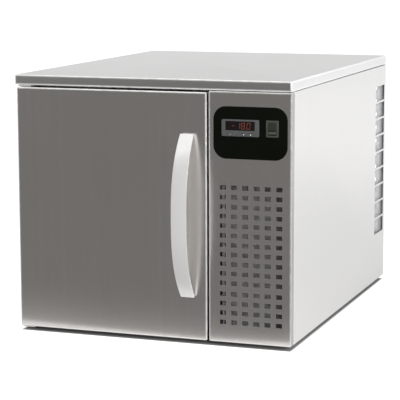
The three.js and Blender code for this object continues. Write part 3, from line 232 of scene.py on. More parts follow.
# %% Dust
def dust_steps(source):
    upward = spread(slope(source["Place"], 2), 0.1, 1.0, 0.2, 1.0)
    flecks = spread(noise(source["Place"], 45.0, 6.0), 0.0, 1.0, 0.35, 0.7)
    return [times(times(upward, flecks), source["Amount"])]


dust = make_group("dust", {"Place": ORIGIN, "Amount": 0.5}, ["Mask"], dust_steps)

# %% [markdown]
# Each finish is a material kept under its name. What is the same all over is set on the shader.
# Colours and roughness run between two values along the groups' outputs, so nothing is one flat
# colour.

# %% Tools for finishes
finishes = {}


def grey(level, warm=0.0):
    return (level * (1 + warm), level, level * (1 - warm), 1.0)


def tint(red, green, blue):
    return (red, green, blue, 1.0)


def start_material(name, **constants):
    """A new material. Gives its shader and the socket with the place on the piece."""
    material = bpy.data.materials.new(name)
    material.use_nodes = True
    finishes[name] = material
    shader = material.node_tree.nodes["Principled BSDF"]
    plug(shader, {label.replace("_", " "): value for label, value in constants.items()})
    return shader, wire("ShaderNodeTexCoord", tree=material.node_tree)["Object"]


def use_group(group, place, **sockets):
    return wire("ShaderNodeGroup", {"Place": place, **sockets}, node_tree=group)


def bump(height, depth, strength):
    return wire("ShaderNodeBump", {"Height": height, "Distance": depth, "Strength": strength})[0]


print("tools for finishes ready")

# %% [markdown]
# Rubbed edges of brushed steel are pale and dull, and on the door, panel and lid the pale edge is
# also a painted highlight, so its Metallic varies as well. A painted side shade gives what faces
# right a plain colour: painted shade on the door and panel, painted light on the lid. On the right
# side the folds behind the face are painted pale and dull, as painted light where they show
# through the slots and at the seams.

# %% Brushed steel
UPRIGHT_GRAIN, CROSS_GRAIN = (2400.0, 2400.0, 14.0), (14.0, 2400.0, 2400.0)
DEPTH_GRAIN = (2400.0, 14.0, 2400.0)


def brushed(name, node, dark, light, rough, grain=UPRIGHT_GRAIN, warm=0.03, wear_and_highlight=0.25,
            painted_side_shade=None, painted_light_folds=None):
    shader, place = start_material(name)
    low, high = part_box(node)
    drawn = use_group(brushed_grain, place, Stretch=grain)
    # The edge mask paints wear, and on the door, panel and lid a strong painted highlight too.
    wear_and_painted_light = times(use_group(edge_wear_and_highlight, place, Low=low, High=high)["Mask"], wear_and_highlight)
    colour, bare_and_highlight = mixed(drawn["Tone"], grey(dark, warm), grey(light, warm)), grey(0.74)
    # Painted shade on the door and panel and painted light on the lid: what faces right takes a
    # plain colour.
    if painted_side_shade:
        sideways = spread(slope(place, 0), 0.0, 1.0, 0.4, 0.9)
        shaded = mixed(drawn["Tone"], grey(painted_side_shade * 0.95), grey(painted_side_shade))
        colour, bare_and_highlight = mixed(sideways, colour, shaded), mixed(sideways, bare_and_highlight, grey(painted_side_shade))
    # Painted light: the right side's folds turn pale and dull where they show through the slots and
    # at seams.
    if painted_light_folds:
        beside, before = (sums("LESS_THAN", part(place, axis), painted_light_folds[axis]) for axis in (0, 1))
        wear_and_painted_light = sums("MAXIMUM", wear_and_painted_light, times(sums("MINIMUM", beside, before), 0.95))
    plug(shader, {"Base Color": mixed(wear_and_painted_light, colour, bare_and_highlight),
                  "Roughness": spread(drawn["Gloss"], *rough, 0.3, 0.7),
                  "Metallic": spread(wear_and_painted_light, 1.0, 0.15),
                  "Normal": bump(drawn["Height"], 0.02 * MM, 0.4)})


# The door, panel and lid get painted edge highlights, the door and panel painted shade on their
# right faces, the lid painted light there, and the right side painted light on its folds.
brushed("door_steel", "door_skin", 0.59, 0.70, (0.20, 0.27), wear_and_highlight=1.0, painted_side_shade=0.44)
brushed("panel_steel", "service_panel", 0.59, 0.70, (0.20, 0.27), wear_and_highlight=0.6, painted_side_shade=0.44)
brushed("right_steel", "right_side_panel", 0.72, 0.80, (0.26, 0.35), warm=0.008,
        painted_light_folds=(283.8 * MM, 390.9 * MM))
brushed("left_steel", "left_side_panel", 0.66, 0.74, (0.26, 0.35))
brushed("lid_steel", "top_lid", 0.58, 0.65, (0.38, 0.46), CROSS_GRAIN, 0.004, 1.0, 0.84)
brushed("frame_steel", "front_frame", 0.70, 0.78, (0.3, 0.42))
brushed("bracket_steel", "hinge_bracket_lower", 0.60, 0.70, (0.25, 0.35), CROSS_GRAIN, wear_and_highlight=0.6)
brushed("liner_steel", "chamber_liner", 0.62, 0.72, (0.2, 0.3), DEPTH_GRAIN)
brushed("door_inner_steel", "door_liner", 0.62, 0.72, (0.2, 0.3))
brushed("cover_steel", "evaporator_cover", 0.60, 0.70, (0.22, 0.32))
print("steels", list(finishes))

# %% [markdown]
# Plastic and rubber take their shade from the moulded grain, and may have bands of painted light
# and shade at stated heights.
# Galvanised sheet shows zinc crystals, which are Voronoi cells of different shades. Copper,
# aluminium and enamel darken in clouds. Any of them may be dusty.

# %% Plastic, zinc and tarnish
PLASTIC_DUST, METAL_DUST = tint(0.42, 0.39, 0.34), tint(0.4, 0.37, 0.32)


def moulded(name, dark, light, rough, size=1400.0, depth=0.04 * MM, dusty=0.0, metal=0.0,
            shine=0.5, bands=()):
    shader, place = start_material(name, Metallic=metal, Specular_IOR_Level=shine)
    grain = use_group(moulded_grain, place, Size=size)
    colour = mixed(grain["Tone"], dark, light)
    # The bands are painted light and shade across ranges of heights.
    for bottom, top, shade in bands:
        height = part(place, 2)
        inside = times(sums("GREATER_THAN", height, bottom), sums("LESS_THAN", height, top))
        colour = mixed(inside, colour, shade)
    if dusty:
        colour = mixed(use_group(dust, place, Amount=dusty)["Mask"], colour, PLASTIC_DUST)
    plug(shader, {"Base Color": colour, "Roughness": spread(grain["Gloss"], *rough, 0.3, 0.7),
                  "Normal": bump(grain["Height"], depth, 0.6)})


def galvanised(name, dark, light, dusty, metal):
    shader, place = start_material(name, Metallic=metal)
    crystal = wire("ShaderNodeTexVoronoi", {"Vector": place, "Scale": 95.0})["Color"]
    shade = wire("ShaderNodeSeparateColor", {0: crystal})[0]
    fallen = use_group(dust, place, Amount=dusty)["Mask"]
    zinc = mixed(shade, grey(dark, -0.02), grey(light, -0.02))
    plug(shader, {"Base Color": mixed(fallen, zinc, METAL_DUST),
                  "Roughness": plus(spread(shade, 0.34, 0.5), times(fallen, 0.3)),
                  "Normal": bump(shade, 0.03 * MM, 0.3)})


def tarnished(name, fresh, dull, metal, rough, scale=40.0, dusty=0.0):
    shader, place = start_material(name, Metallic=metal)
    clouds = noise(place, scale, 5.0)
    colour = mixed(spread(clouds, 0.0, 1.0, 0.35, 0.65), fresh, dull)
    if dusty:
        colour = mixed(use_group(dust, place, Amount=dusty)["Mask"], colour, METAL_DUST)
    plug(shader, {"Base Color": colour, "Roughness": spread(clouds, *rough, 0.3, 0.7),
                  "Normal": bump(noise(place, scale * 20), 0.03 * MM, 0.4)})


galvanised("galvanised_sheet", 0.46, 0.66, 0.35, 0.9)
galvanised("back_sheet", 0.68, 0.80, 0.1, 0.12)
tarnished("screw_zinc", grey(0.74), grey(0.58), 1.0, (0.25, 0.4), 60.0)
tarnished("polished_wire", grey(0.78), grey(0.62), 1.0, (0.14, 0.26), 30.0)
tarnished("fin_aluminium", grey(0.62), grey(0.46, 0.03), 1.0, (0.4, 0.55), 20.0, 0.25)
tarnished("condenser_aluminium", grey(0.62), grey(0.54, 0.01), 0.05, (0.4, 0.55), 20.0, 0.05)
tarnished("fan_metal", grey(0.72), grey(0.58), 1.0, (0.3, 0.45), 30.0, 0.3)
tarnished("copper", tint(0.72, 0.36, 0.20), tint(0.42, 0.20, 0.11), 1.0, (0.28, 0.48))
tarnished("black_enamel", grey(0.02), grey(0.035), 0.0, (0.25, 0.42), 12.0, 0.5)
print("finishes", len(finishes))

# %% [markdown]
# The rocker's face has a painted pale band of light near its foot with a painted dark line of
# shade above it, set by shares of its height. The anodised handle is neither bare metal nor
# plastic. Foam is a mass of small cells.


# %% Plastics and foam
def up_rocker(share):
    foot, top = (corner.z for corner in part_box("switch_rocker"))
    return foot + (top - foot) * share


# Painted light and shade on the rocker: a pale band low on its face and a dark line above it.
rocker_light_and_shade_bands = [(up_rocker(0.05), up_rocker(0.26), tint(0.034, 0.037, 0.030)),
                (up_rocker(0.26), up_rocker(0.36), tint(0.003, 0.0033, 0.0025))]
moulded("handle_finish", grey(0.64, 0.006), grey(0.68, 0.006), (0.28, 0.34), 900.0, 0.002 * MM,
        metal=0.57)
moulded("foot_rubber", grey(0.015), grey(0.03), (0.75, 0.9), 900.0, dusty=0.4)
moulded("seal_rubber", grey(0.20), grey(0.27), (0.55, 0.7), 900.0)
moulded("plate_black", tint(0.0012, 0.0016, 0.0008), tint(0.0025, 0.0031, 0.0018), (0.2, 0.28),
        2200.0, 0.01 * MM, shine=0.08)
moulded("rear_black", grey(0.012), grey(0.022), (0.4, 0.55))
moulded("bezel_grey", grey(0.040, -0.01), grey(0.054, -0.01), (0.4, 0.52))
moulded("switch_grey", tint(0.026, 0.028, 0.022), tint(0.035, 0.037, 0.030), (0.35, 0.45))
moulded("rocker_grey", tint(0.0115, 0.0125, 0.0095), tint(0.017, 0.0185, 0.0145), (0.3, 0.4),
        shine=0.35, bands=rocker_light_and_shade_bands)
moulded("mark_white", grey(0.42), grey(0.52), (0.5, 0.6))
moulded("mark_grey", grey(0.10), grey(0.14), (0.5, 0.6))
moulded("window_dark", tint(0.0045, 0.0035, 0.0035), tint(0.007, 0.005, 0.005), (0.06, 0.1),
        shine=0.15)
moulded("white_plastic", grey(0.70, 0.01), grey(0.80, 0.01), (0.4, 0.55))
moulded("fan_black", grey(0.014), grey(0.026), (0.4, 0.55))
shader, place = start_material("foam_finish")
cells = wire("ShaderNodeTexVoronoi", {"Vector": place, "Scale": 260.0})["Distance"]
aged = mixed(noise(place, 9.0, 4.0), tint(0.80, 0.70, 0.42), tint(0.90, 0.84, 0.62))
plug(shader, {"Base Color": aged, "Roughness": spread(cells, 0.8, 0.98),
              "Normal": bump(cells, 0.6 * MM, 0.7)})
print("finishes", len(finishes))

# %% [markdown]
# Every piece starts as a primitive at its size and place and is then worked in edit mode. By hand
# one clicks the edges to bevel; here a small test on their place or direction does the clicking.


# %% Helpers for shaping
def let_go():
    if bpy.context.object is not None and bpy.context.object.mode != "OBJECT":
        bpy.ops.object.mode_set(mode="OBJECT")
    bpy.ops.object.select_all(action="DESELECT")


def hold(piece, *others):
    let_go()
    for each in (piece, *others):
        each.select_set(True)
    bpy.context.view_layer.objects.active = piece


def named(name):
    piece = bpy.context.object
    piece.name = piece.data.name = name
    bpy.ops.object.transform_apply()
    return piece


def block(name, low, high):
    let_go()
    low, high = Vector(low), Vector(high)
    bpy.ops.mesh.primitive_cube_add(size=1, location=(low + high) / 2, scale=high - low)
    return named(name)


def rod(name, radius, start, end, sides=32):
    let_go()
    start, end = Vector(start), Vector(end)
    lean = UP.rotation_difference(end - start).to_euler()
    bpy.ops.mesh.primitive_cylinder_add(vertices=sides, radius=radius, depth=(end - start).length,
                                        location=(start + end) / 2, rotation=lean)
    return named(name)


def shaft(name, radius, centre, front, rear, sides=32):
    """A rod that runs from front to rear through a point."""
    return rod(name, radius, (centre.x, front, centre.z), (centre.x, rear, centre.z), sides)


def grown(low, high, x, y, z):
    """A box's two corners, moved outwards by x, y and z."""
    return Vector(low) - Vector((x, y, z)), Vector(high) + Vector((x, y, z))


def middle_of(node):
    return sum(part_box(node), Vector((0, 0, 0))) / 2


def pick(piece, kind, test):
    """Selects the corners, edges or faces that pass a test, and stays in edit mode."""
    hold(piece)
    bpy.ops.object.mode_set(mode="EDIT")
    bpy.ops.mesh.select_mode(type=kind)
    bpy.ops.mesh.select_all(action="DESELECT")
    bpy.ops.object.mode_set(mode="OBJECT")
    mesh = piece.data
    for face in mesh.polygons if kind == "FACE" else ():
        face.select = test(face.center, face.normal)
    for edge in mesh.edges if kind == "EDGE" else ():
        edge.select = test(*(mesh.vertices[i].co for i in edge.vertices))
    for corner in mesh.vertices if kind == "VERT" else ():
        corner.select = test(corner.co)
    bpy.ops.object.mode_set(mode="EDIT")


def running(axis):
    return lambda a, b: abs((b - a).normalized().dot(axis)) > 0.999


def on_plane(axis, level, slack=0.01 * MM):
    return lambda *ends: all(abs(end.dot(axis) - level) < slack for end in ends)


def facing(axis):
    return lambda centre, normal: normal.dot(axis) > 0.99


def push(x, y, z):
    bpy.ops.mesh.extrude_region_move(TRANSFORM_OT_translate={"value": (x, y, z)})


def reach(piece, axis):
    return max(v.co.dot(axis) for v in piece.data.vertices)


print("tools for picking ready")

# %% [markdown]
# These tools round, step a face in or out, give a sheet its thickness, repeat, cut and join. The
# last ones fold a tray, copy a solid of the model with softer edges, and hand a finished piece to
# its body.


# %% Helpers for whole pieces
def bevelled(piece, test, width, steps):
    pick(piece, "EDGE", test)
    bpy.ops.mesh.bevel(offset=width, offset_type="OFFSET", segments=steps, affect="EDGES")
    let_go()


def rounded(piece, width, steps, *sides):
    """Rounds the edges that lie on a piece's outermost plane on each of the sides."""
    for side in sides:
        bevelled(piece, on_plane(side, reach(piece, side)), width, steps)


def stepped(piece, side, inset, shift):
    """Insets the face on one side and moves its inner part out or in."""
    pick(piece, "FACE", facing(side))
    bpy.ops.mesh.inset(thickness=inset, depth=0)
    push(*shift)
    let_go()


def soft_block(name, low, high, face, corner, edge, both=False, steps=4):
    """A block with rounded corners round the face's direction, and rounded edges round the face."""
    piece = block(name, low, high)
    if corner:
        bevelled(piece, running(face), corner, steps)
    if edge:
        rounded(piece, edge, steps, *((face, -face) if both else (face,)))
    return piece


def bake(piece, kind, **settings):
    made = piece.modifiers.new(kind.lower(), kind)
    for name, value in settings.items():
        setattr(made, name, value)
    hold(piece)
    bpy.ops.object.modifier_apply(modifier=made.name)
    return piece


def soften(piece, width, steps, angle):
    """Rounds every edge that is sharper than an angle."""
    return bake(piece, "BEVEL", width=width, segments=steps, limit_method="ANGLE",
                angle_limit=radians(angle))


def wall(piece, thickness):
    return bake(piece, "SOLIDIFY", thickness=thickness, offset=-1, use_even_offset=True)


def repeat(piece, count, step):
    return bake(piece, "ARRAY", count=count, use_relative_offset=False, use_constant_offset=True,
                constant_offset_displace=step)


def cut(piece, *tools, operation="DIFFERENCE"):
    for tool in tools:
        bake(piece, "BOOLEAN", object=tool, operation=operation, solver="EXACT")
        bpy.data.objects.remove(tool)
    return piece


def joined(name, first, *others):
    hold(first, *others)
    bpy.ops.object.join()
    first.name = first.data.name = name
    return first


def turn(angle, centre):
    """A turn about the line from front to rear through a point."""
    about = Matrix.Translation(centre)
    return about @ Matrix.Rotation(angle, 4, "Y") @ about.inverted()


def copied(piece, name, change=Matrix()):
    twin = piece.copy()
    twin.data = piece.data.copy()
    bpy.context.scene.collection.objects.link(twin)
    twin.name = twin.data.name = name
    twin.data.transform(change)
    return twin


def ready(piece, finish, slot, *nodes, body="cabinet", smooth=32):
    hold(piece)
    bpy.ops.object.shade_smooth_by_angle(angle=radians(smooth))
    piece.data.materials.clear()
    piece.data.materials.append(finishes[finish])
    if nodes:
        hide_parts(*nodes)
    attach(piece, body)
    let_go()
    print(piece.name, len(piece.data.polygons), "faces, rides on", body)


SHEET = 1 * MM


def folded_tray(name, low, high, face, corner, edge, lip=0.0, both=False, cuts=()):
    """A sheet folded into a tray that is open opposite its face. A lip, if any, turns inwards."""
    piece = soft_block(name, low, high, face, corner, edge, both)
    pick(piece, "FACE", facing(-face))
    if lip:
        bpy.ops.mesh.inset(thickness=lip, depth=0)
    bpy.ops.mesh.delete(type="FACE")
    wall(piece, SHEET)
    return cut(piece, *cuts)


def merged(node, name, flat=True):
    """A copy of a node's mesh with its loose triangles merged, as flat faces if wanted."""
    twin = copied(frame["nodes"][node], name)
    twin.parent = None
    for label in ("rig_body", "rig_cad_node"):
        if label in twin:
            del twin[label]
    hold(twin)
    bpy.ops.object.mode_set(mode="EDIT")
    bpy.ops.mesh.select_all(action="SELECT")
    bpy.ops.mesh.remove_doubles(threshold=0.001 * MM)
    if flat:
        bpy.ops.mesh.dissolve_limited(angle_limit=radians(0.5))
    else:
        bpy.ops.mesh.tris_convert_to_quads()
    bpy.ops.mesh.customdata_custom_splitnormals_clear()
    bpy.ops.object.mode_set(mode="OBJECT")
    return twin


def redone(node, name, width, steps, finish, slot, body="cabinet", sharp=28, smooth=32):
    """Shows a merged copy of a node with its edges rounded."""
    twin = soften(merged(node, name), width, steps, sharp)
    ready(twin, finish, slot, node, body=body, smooth=smooth)


print("tools for whole pieces ready")

# %% [markdown]
# The door's outside is one sheet, folded back 49 mm on all four sides, with edges rolled to 3 mm.
# A real door is a tray filled with foam, so the block loses its rear face and gets a sheet's
# thickness. Two round holes let the hinge pins in.

# %% Door front
BUSH_HOLE, PUNCH, DOOR_CORNER, DOOR_EDGE = 7.3 * MM, 3 * MM, 3.5 * MM, 3 * MM
low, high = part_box("door_skin")
pin = middle_of("hinge_bush_lower")
hinge_holes = [rod("pin_hole", BUSH_HOLE, (pin.x, pin.y, z - PUNCH), (pin.x, pin.y, z + PUNCH))
               for z in (low.z, high.z)]
door_front = folded_tray("door_front", low, high, FRONT, DOOR_CORNER, DOOR_EDGE,
                         cuts=hinge_holes)
ready(door_front, "door_steel", "brushed_steel", "door_skin", body="door")

# %% [markdown]
# The service bay's front is a shallower tray with ninety vent holes in a regular grid, with one
# wider gap four rows above the bottom. One punch with rounded corners is repeated along both
# directions, then taken out of the sheet. The controls need a hole each too.

# %% Service bay front
VENT_SIZE, VENT_STEP = Vector((12.2, 0, 8.6)) * MM, Vector((22.4, 0, 18.5)) * MM
VENT_COLUMNS, VENT_SHIFT, FIRST_VENT_DROP, VENT_CORNER = 6, 2.2 * MM, 204.4 * MM, 0.9 * MM
VENT_GROUPS = ((11, 0.0), (4, 11 * VENT_STEP.z + 2.7 * MM))
BODY_MARGIN, CONTROLS = 1.4 * MM, ("thermostat_case", "switch_housing")
PANEL_CORNER, PANEL_EDGE, LONG_PUNCH = 2.6 * MM, 2 * MM, 4 * MM
low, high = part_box("service_panel")
lid_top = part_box("top_lid")[1].z
first_x = (low.x + high.x) / 2 + VENT_SHIFT - VENT_STEP.x * (VENT_COLUMNS - 1) / 2


def vent_punch(rows, drop):
    centre = Vector((first_x, low.y, lid_top - FIRST_VENT_DROP - drop))
    corners = grown(centre, centre, VENT_SIZE.x / 2, LONG_PUNCH, VENT_SIZE.z / 2)
    punch = soft_block("vent_punch", *corners, FRONT, VENT_CORNER, 0, steps=2)
    repeat(punch, VENT_COLUMNS, (VENT_STEP.x, 0, 0))
    return repeat(punch, rows, (0, 0, -VENT_STEP.z))


def body_punch(node, front):
    low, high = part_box(node)
    corners = (low.x, front, low.z), (high.x, front, high.z)
    return block("body_punch", *grown(*corners, -BODY_MARGIN, PUNCH, -BODY_MARGIN))


punches = [vent_punch(rows, drop) for rows, drop in VENT_GROUPS]
punches += [body_punch(node, low.y) for node in CONTROLS]
service_front = folded_tray("service_front", low, high, FRONT, PANEL_CORNER, PANEL_EDGE,
                            cuts=punches)
ready(service_front, "panel_steel", "brushed_steel", "service_panel")

# %% [markdown]
# The sides are trays too. The right one has a ladder of nine wide slots near its rear edge, where
# the warm air leaves. Both stop short of the lid, which leaves a thin shadow.

# %% Side panels
SLOTS, SLOT_LENGTH, SLOT_STEP, SLOT_BAR = 9, 77 * MM, 37.5 * MM, 4.3 * MM
SLOT_DROP, SLOT_FROM_BACK, SLOT_CORNER, LID_SHADOW = 65 * MM, 16 * MM, 1.5 * MM, 1.1 * MM


def side_panel(name, node, side, finish, *cuts):
    low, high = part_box(node)
    high.z -= LID_SHADOW
    panel = folded_tray(name, low, high, side, PANEL_CORNER, PANEL_EDGE, cuts=cuts)
    ready(panel, finish, "brushed_steel", node)


outside, slot_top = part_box("right_side_panel")[1].x, lid_top - SLOT_DROP
slot_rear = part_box("back_panel")[1].y - SLOT_FROM_BACK
slots = soft_block("slots",
                   (outside - LONG_PUNCH, slot_rear - SLOT_LENGTH, slot_top - SLOT_STEP + SLOT_BAR),
                   (outside + LONG_PUNCH, slot_rear, slot_top), RIGHT, SLOT_CORNER, 0, steps=3)
repeat(slots, SLOTS, (0, 0, -SLOT_STEP))
side_panel("right_side", "right_side_panel", RIGHT, "right_steel", slots)
side_panel("left_side", "left_side_panel", LEFT, "left_steel")

# %% [markdown]
# The lid is a shallow box turned upside down. Its lower edge rolls under and ends in a lip, which
# is what an inset of the bottom face makes before that face is taken away.

# %% Lid
LID_CORNER, LID_EDGE, LID_LIP = 5 * MM, 2.5 * MM, 11 * MM
lid = folded_tray("lid", *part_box("top_lid"), UP, LID_CORNER, LID_EDGE, LID_LIP, both=True)
ready(lid, "lid_steel", "lid_steel", "top_lid")

# %% [markdown]
# The handle is one flat bar bowed out from the door. It starts as a straight bar cut into 32
# lengths. Each ring of corners is narrowed towards the ends and pulled out along the bow, the
# outside further than the inside, so that the bar is thickest in the middle and ends in two flat
# feet. The inside is narrower, so the sides lean. The long edges are rounded last.

# %% Door handle
BOW, BOW_RINGS, BAR_THICKNESS, BAR_FOOT = 2.7, 32, 8.5 * MM, 13 * MM
END_TAPER, TAPER_CURVE, BACK_WIDTH, LONG_EDGE = 0.12, 2.5, 0.78, 1.4 * MM
low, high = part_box("door_handle")
bar_middle, bow_reach = (low + high) / 2, high.y - low.y
handle = block("handle", (low.x, high.y - BAR_THICKNESS, low.z), high)
pick(handle, "EDGE", running(UP))
bpy.ops.mesh.subdivide(number_cuts=BOW_RINGS - 1)
outer, inner = on_plane(FRONT, BAR_THICKNESS - high.y), on_plane(REAR, high.y)
for index in range(BOW_RINGS + 1):
    t = 2 * index / BOW_RINGS - 1
    out, width = 1 - abs(t) ** BOW, 1 - END_TAPER * abs(t) ** TAPER_CURVE
    here = on_plane(UP, bar_middle.z + (high.z - low.z) / 2 * t)
    pick(handle, "VERT", lambda p: here(p) and (outer(p) or inner(p)))
    bpy.ops.transform.resize(value=(width, 1, 1), center_override=bar_middle)
    pick(handle, "VERT", lambda p: here(p) and outer(p))
    bpy.ops.transform.translate(value=(0, BAR_THICKNESS - bow_reach * out, 0))
    pick(handle, "VERT", lambda p: here(p) and inner(p))
    bpy.ops.transform.resize(value=(BACK_WIDTH, 1, 1), center_override=bar_middle)
    bpy.ops.transform.translate(value=(0, (BAR_THICKNESS - bow_reach) * out, -BAR_FOOT * t))
for side in (LEFT, RIGHT):
    bevelled(handle, lambda *ends: all((end - bar_middle).dot(side) > 5 * MM for end in ends),
             LONG_EDGE, 4)
ready(handle, "handle_finish", "handle_aluminium", "door_handle", body="door", smooth=40)

# %% [markdown]
# The controls sit on a black plate with large round corners, which has a hole for each of them.

# %% Control plate
PLATE_CORNER, PLATE_EDGE = 25 * MM, 0.5 * MM
low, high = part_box("control_plate")
plate = soft_block("plate", low, high, FRONT, PLATE_CORNER, PLATE_EDGE, steps=8)
cut(plate, *(body_punch(node, low.y) for node in CONTROLS))
ready(plate, "plate_black", "black_plastic", "control_plate")

# %% [markdown]
# The thermostat is a snap-in panel meter: a rim with rounded edges, a body that goes through the
# panel behind it, a shallow recess for the window and three pockets for the keys.

# %% Thermostat
RIM, RIM_CORNER, RIM_EDGE, BODY_INSET = 4 * MM, 2 * MM, 0.9 * MM, 1.7 * MM
WINDOW_CORNER, KEY_CORNER, SMALL_EDGE = 0.7 * MM, 1.2 * MM, 0.35 * MM
POCKET_GAP, POCKET_WIDENING, POCKET_LEAD, KEY_TRAVEL = 0.3 * MM, 0.1 * MM, 2 * MM, 0.7 * MM
KEYS = {"key_set": "set_key", "key_down": "down_key", "key_up": "up_key"}


def snap_in(name, node, rim, edge, inset):
    """A rim with a slimmer body behind it."""
    low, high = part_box(node)
    piece = soft_block(name, low, (high.x, low.y + rim, high.z), FRONT, RIM_CORNER, edge)
    stepped(piece, REAR, inset, (0, high.y - low.y - rim, 0))
    return piece


def pocket(node, front, corner, travel=0.0):
    low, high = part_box(node)
    start = (low.x, front - POCKET_LEAD, low.z)
    end = (high.x, high.y + travel + POCKET_GAP, high.z)
    return soft_block("pocket", *grown(start, end, POCKET_GAP, 0, POCKET_GAP), FRONT,
                      corner + POCKET_WIDENING, 0, steps=3)


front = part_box("thermostat_case")[0].y
bezel = snap_in("bezel", "thermostat_case", RIM, RIM_EDGE, BODY_INSET)
cut(bezel, pocket("display_window", front, WINDOW_CORNER),
    *(pocket(key, front, KEY_CORNER, KEY_TRAVEL) for key in KEYS))
ready(bezel, "bezel_grey", "grey_plastic", "thermostat_case")
window_low, window_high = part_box("display_window")
window = soft_block("window", window_low, window_high, FRONT, WINDOW_CORNER, SMALL_EDGE)
ready(window, "window_dark", "dark_window", "display_window")

# %% [markdown]
# The display shows a temperature in red seven-segment figures that glow faintly. One segment is a
# flat bar with pointed ends, and each figure has the segments that its number needs.

# %% Display figures
FIGURE_WIDTH, FIGURE_HEIGHT, FIGURE_STEP = 6.2 * MM, 11.2 * MM, 9.6 * MM
SEGMENT, SEGMENT_GAP, INK, SLANT = 1.2 * MM, 0.4 * MM, 0.1 * MM, 0.1
FIRST_FIGURE, POINT_GAP, POINT_R = 15 * MM, 1.6 * MM, 0.8 * MM
SEGMENT_PLACES = {"a": (0, 1, 0), "g": (0, 0, 0), "d": (0, -1, 0), "f": (-1, 0.5, 1),
                  "b": (1, 0.5, 1), "e": (-1, -0.5, 1), "c": (1, -0.5, 1)}
FIGURES = ("g", "bc", "abcdefg", "abcdef")
shader, place = start_material("figure_red", Roughness=0.3, Emission_Strength=0.08)
red = mixed(noise(place, 160.0), tint(0.077, 0.0175, 0.0126), tint(0.11, 0.025, 0.018))
plug(shader, {"Base Color": red, "Emission Color": red})
first = Vector((window_low.x + FIRST_FIGURE, window_low.y - 0.03 * MM,
                (window_low.z + window_high.z) / 2))


def segment(index, letter):
    across, along, upright = SEGMENT_PLACES[letter]
    rise = along * FIGURE_HEIGHT / 2
    x = index * FIGURE_STEP + across * FIGURE_WIDTH / 2 + rise * SLANT
    if index == len(FIGURES) - 1:
        x += POINT_GAP
    centre = first + Vector((x, 0, rise))
    length = (FIGURE_HEIGHT / 2 if upright else FIGURE_WIDTH) - SEGMENT_GAP
    size = (SEGMENT, INK, length) if upright else (length, INK, SEGMENT)
    bar = block("segment", *grown(centre, centre, *(Vector(size) / 2)))
    bevelled(bar, running(FRONT), SEGMENT * 0.45, 1)
    return bar


segments = [segment(index, letter) for index, letters in enumerate(FIGURES) for letter in letters]
point = first + Vector((2.5 * FIGURE_STEP + 0.6 * MM, 0, -FIGURE_HEIGHT / 2))
segments.append(rod("point", POINT_R, point - FRONT * INK / 2, point + FRONT * INK / 2, 16))
ready(joined("figures", *segments), "figure_red", "dark_window")

# %% [markdown]
# Each key is a small cap in the colour of the rim with a printed mark: a dot for set, and
# arrowheads for down and up.

# %% Keys
MARK_R, MARK_SUNK, MARK_RISE, MARK_EDGE = 1.5 * MM, 0.1 * MM, 0.12 * MM, 0.06 * MM
for key, body in KEYS.items():
    low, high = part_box(key)
    cap = soft_block(f"{key}_cap", low, high, FRONT, KEY_CORNER, SMALL_EDGE)
    ready(cap, "bezel_grey", "key_plastic", key, body=body)
    centre = Vector(((low.x + high.x) / 2, low.y, (low.z + high.z) / 2))
    sides, finish = (20, "mark_grey") if key == "key_set" else (3, "mark_white")
    mark = rod(f"{key}_mark", MARK_R, centre - FRONT * MARK_SUNK, centre + FRONT * MARK_RISE,
               sides)
    if key == "key_down":
        mark.data.transform(turn(pi, centre))
    rounded(mark, MARK_EDGE, 1, FRONT)
    ready(mark, finish, "key_plastic", body=body)

# %% [markdown]
# The rocker switch has a rim, a body behind the panel, and a pocket in which the rocker turns. The
# rocker's face is a shallow V, so that the half that is pressed lies flush. The model stores it
# tilted, so its own mesh is copied and its edges are softened.

# %% Rocker switch
SWITCH_RIM, SWITCH_EDGE, SWITCH_INSET = 1.8 * MM, 0.8 * MM, 1.6 * MM
WELL_DEPTH, WELL_HALF_WIDTH, WELL_HALF_HEIGHT = 12 * MM, 8.5 * MM, 12.3 * MM
front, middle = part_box("switch_housing")[0].y, middle_of("switch_housing")
housing = snap_in("housing", "switch_housing", SWITCH_RIM, SWITCH_EDGE, SWITCH_INSET)
well = grown((middle.x, front - POCKET_LEAD, middle.z), (middle.x, front + WELL_DEPTH, middle.z),
             WELL_HALF_WIDTH, 0, WELL_HALF_HEIGHT)
cut(housing, soft_block("pocket", *well, FRONT, 0.8 * MM, 0))
ready(housing, "switch_grey", "grey_plastic", "switch_housing")
redone("switch_rocker", "rocker", 0.5 * MM, 3, "rocker_grey", "black_plastic", "switch")

# %% [markdown]
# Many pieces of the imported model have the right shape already. They stay, and only get a finish in
# the slot of the object, so the mesh itself is left alone.


# %% Finishes for pieces that stay
def finish_nodes(finish, *nodes):
    for node in nodes:
        for slot in frame["nodes"][node].material_slots:
            slot.material = finishes[finish]
    print(finish, "on", len(nodes), "pieces")


finish_nodes("back_sheet", "back_panel", "partition_panel")
finish_nodes("galvanised_sheet", "base_plate")
finish_nodes("frame_steel", "front_frame")
finish_nodes("foam_finish", "cabinet_insulation", "door_insulation")
finish_nodes("white_plastic", "hinge_bush_lower", "hinge_bush_upper")

# %% [markdown]
# The back is held by pan-head screws. One is turned from a short rod: its top edge is rounded with
# a wide bevel, and a cross is sunk into the head with two small bars.

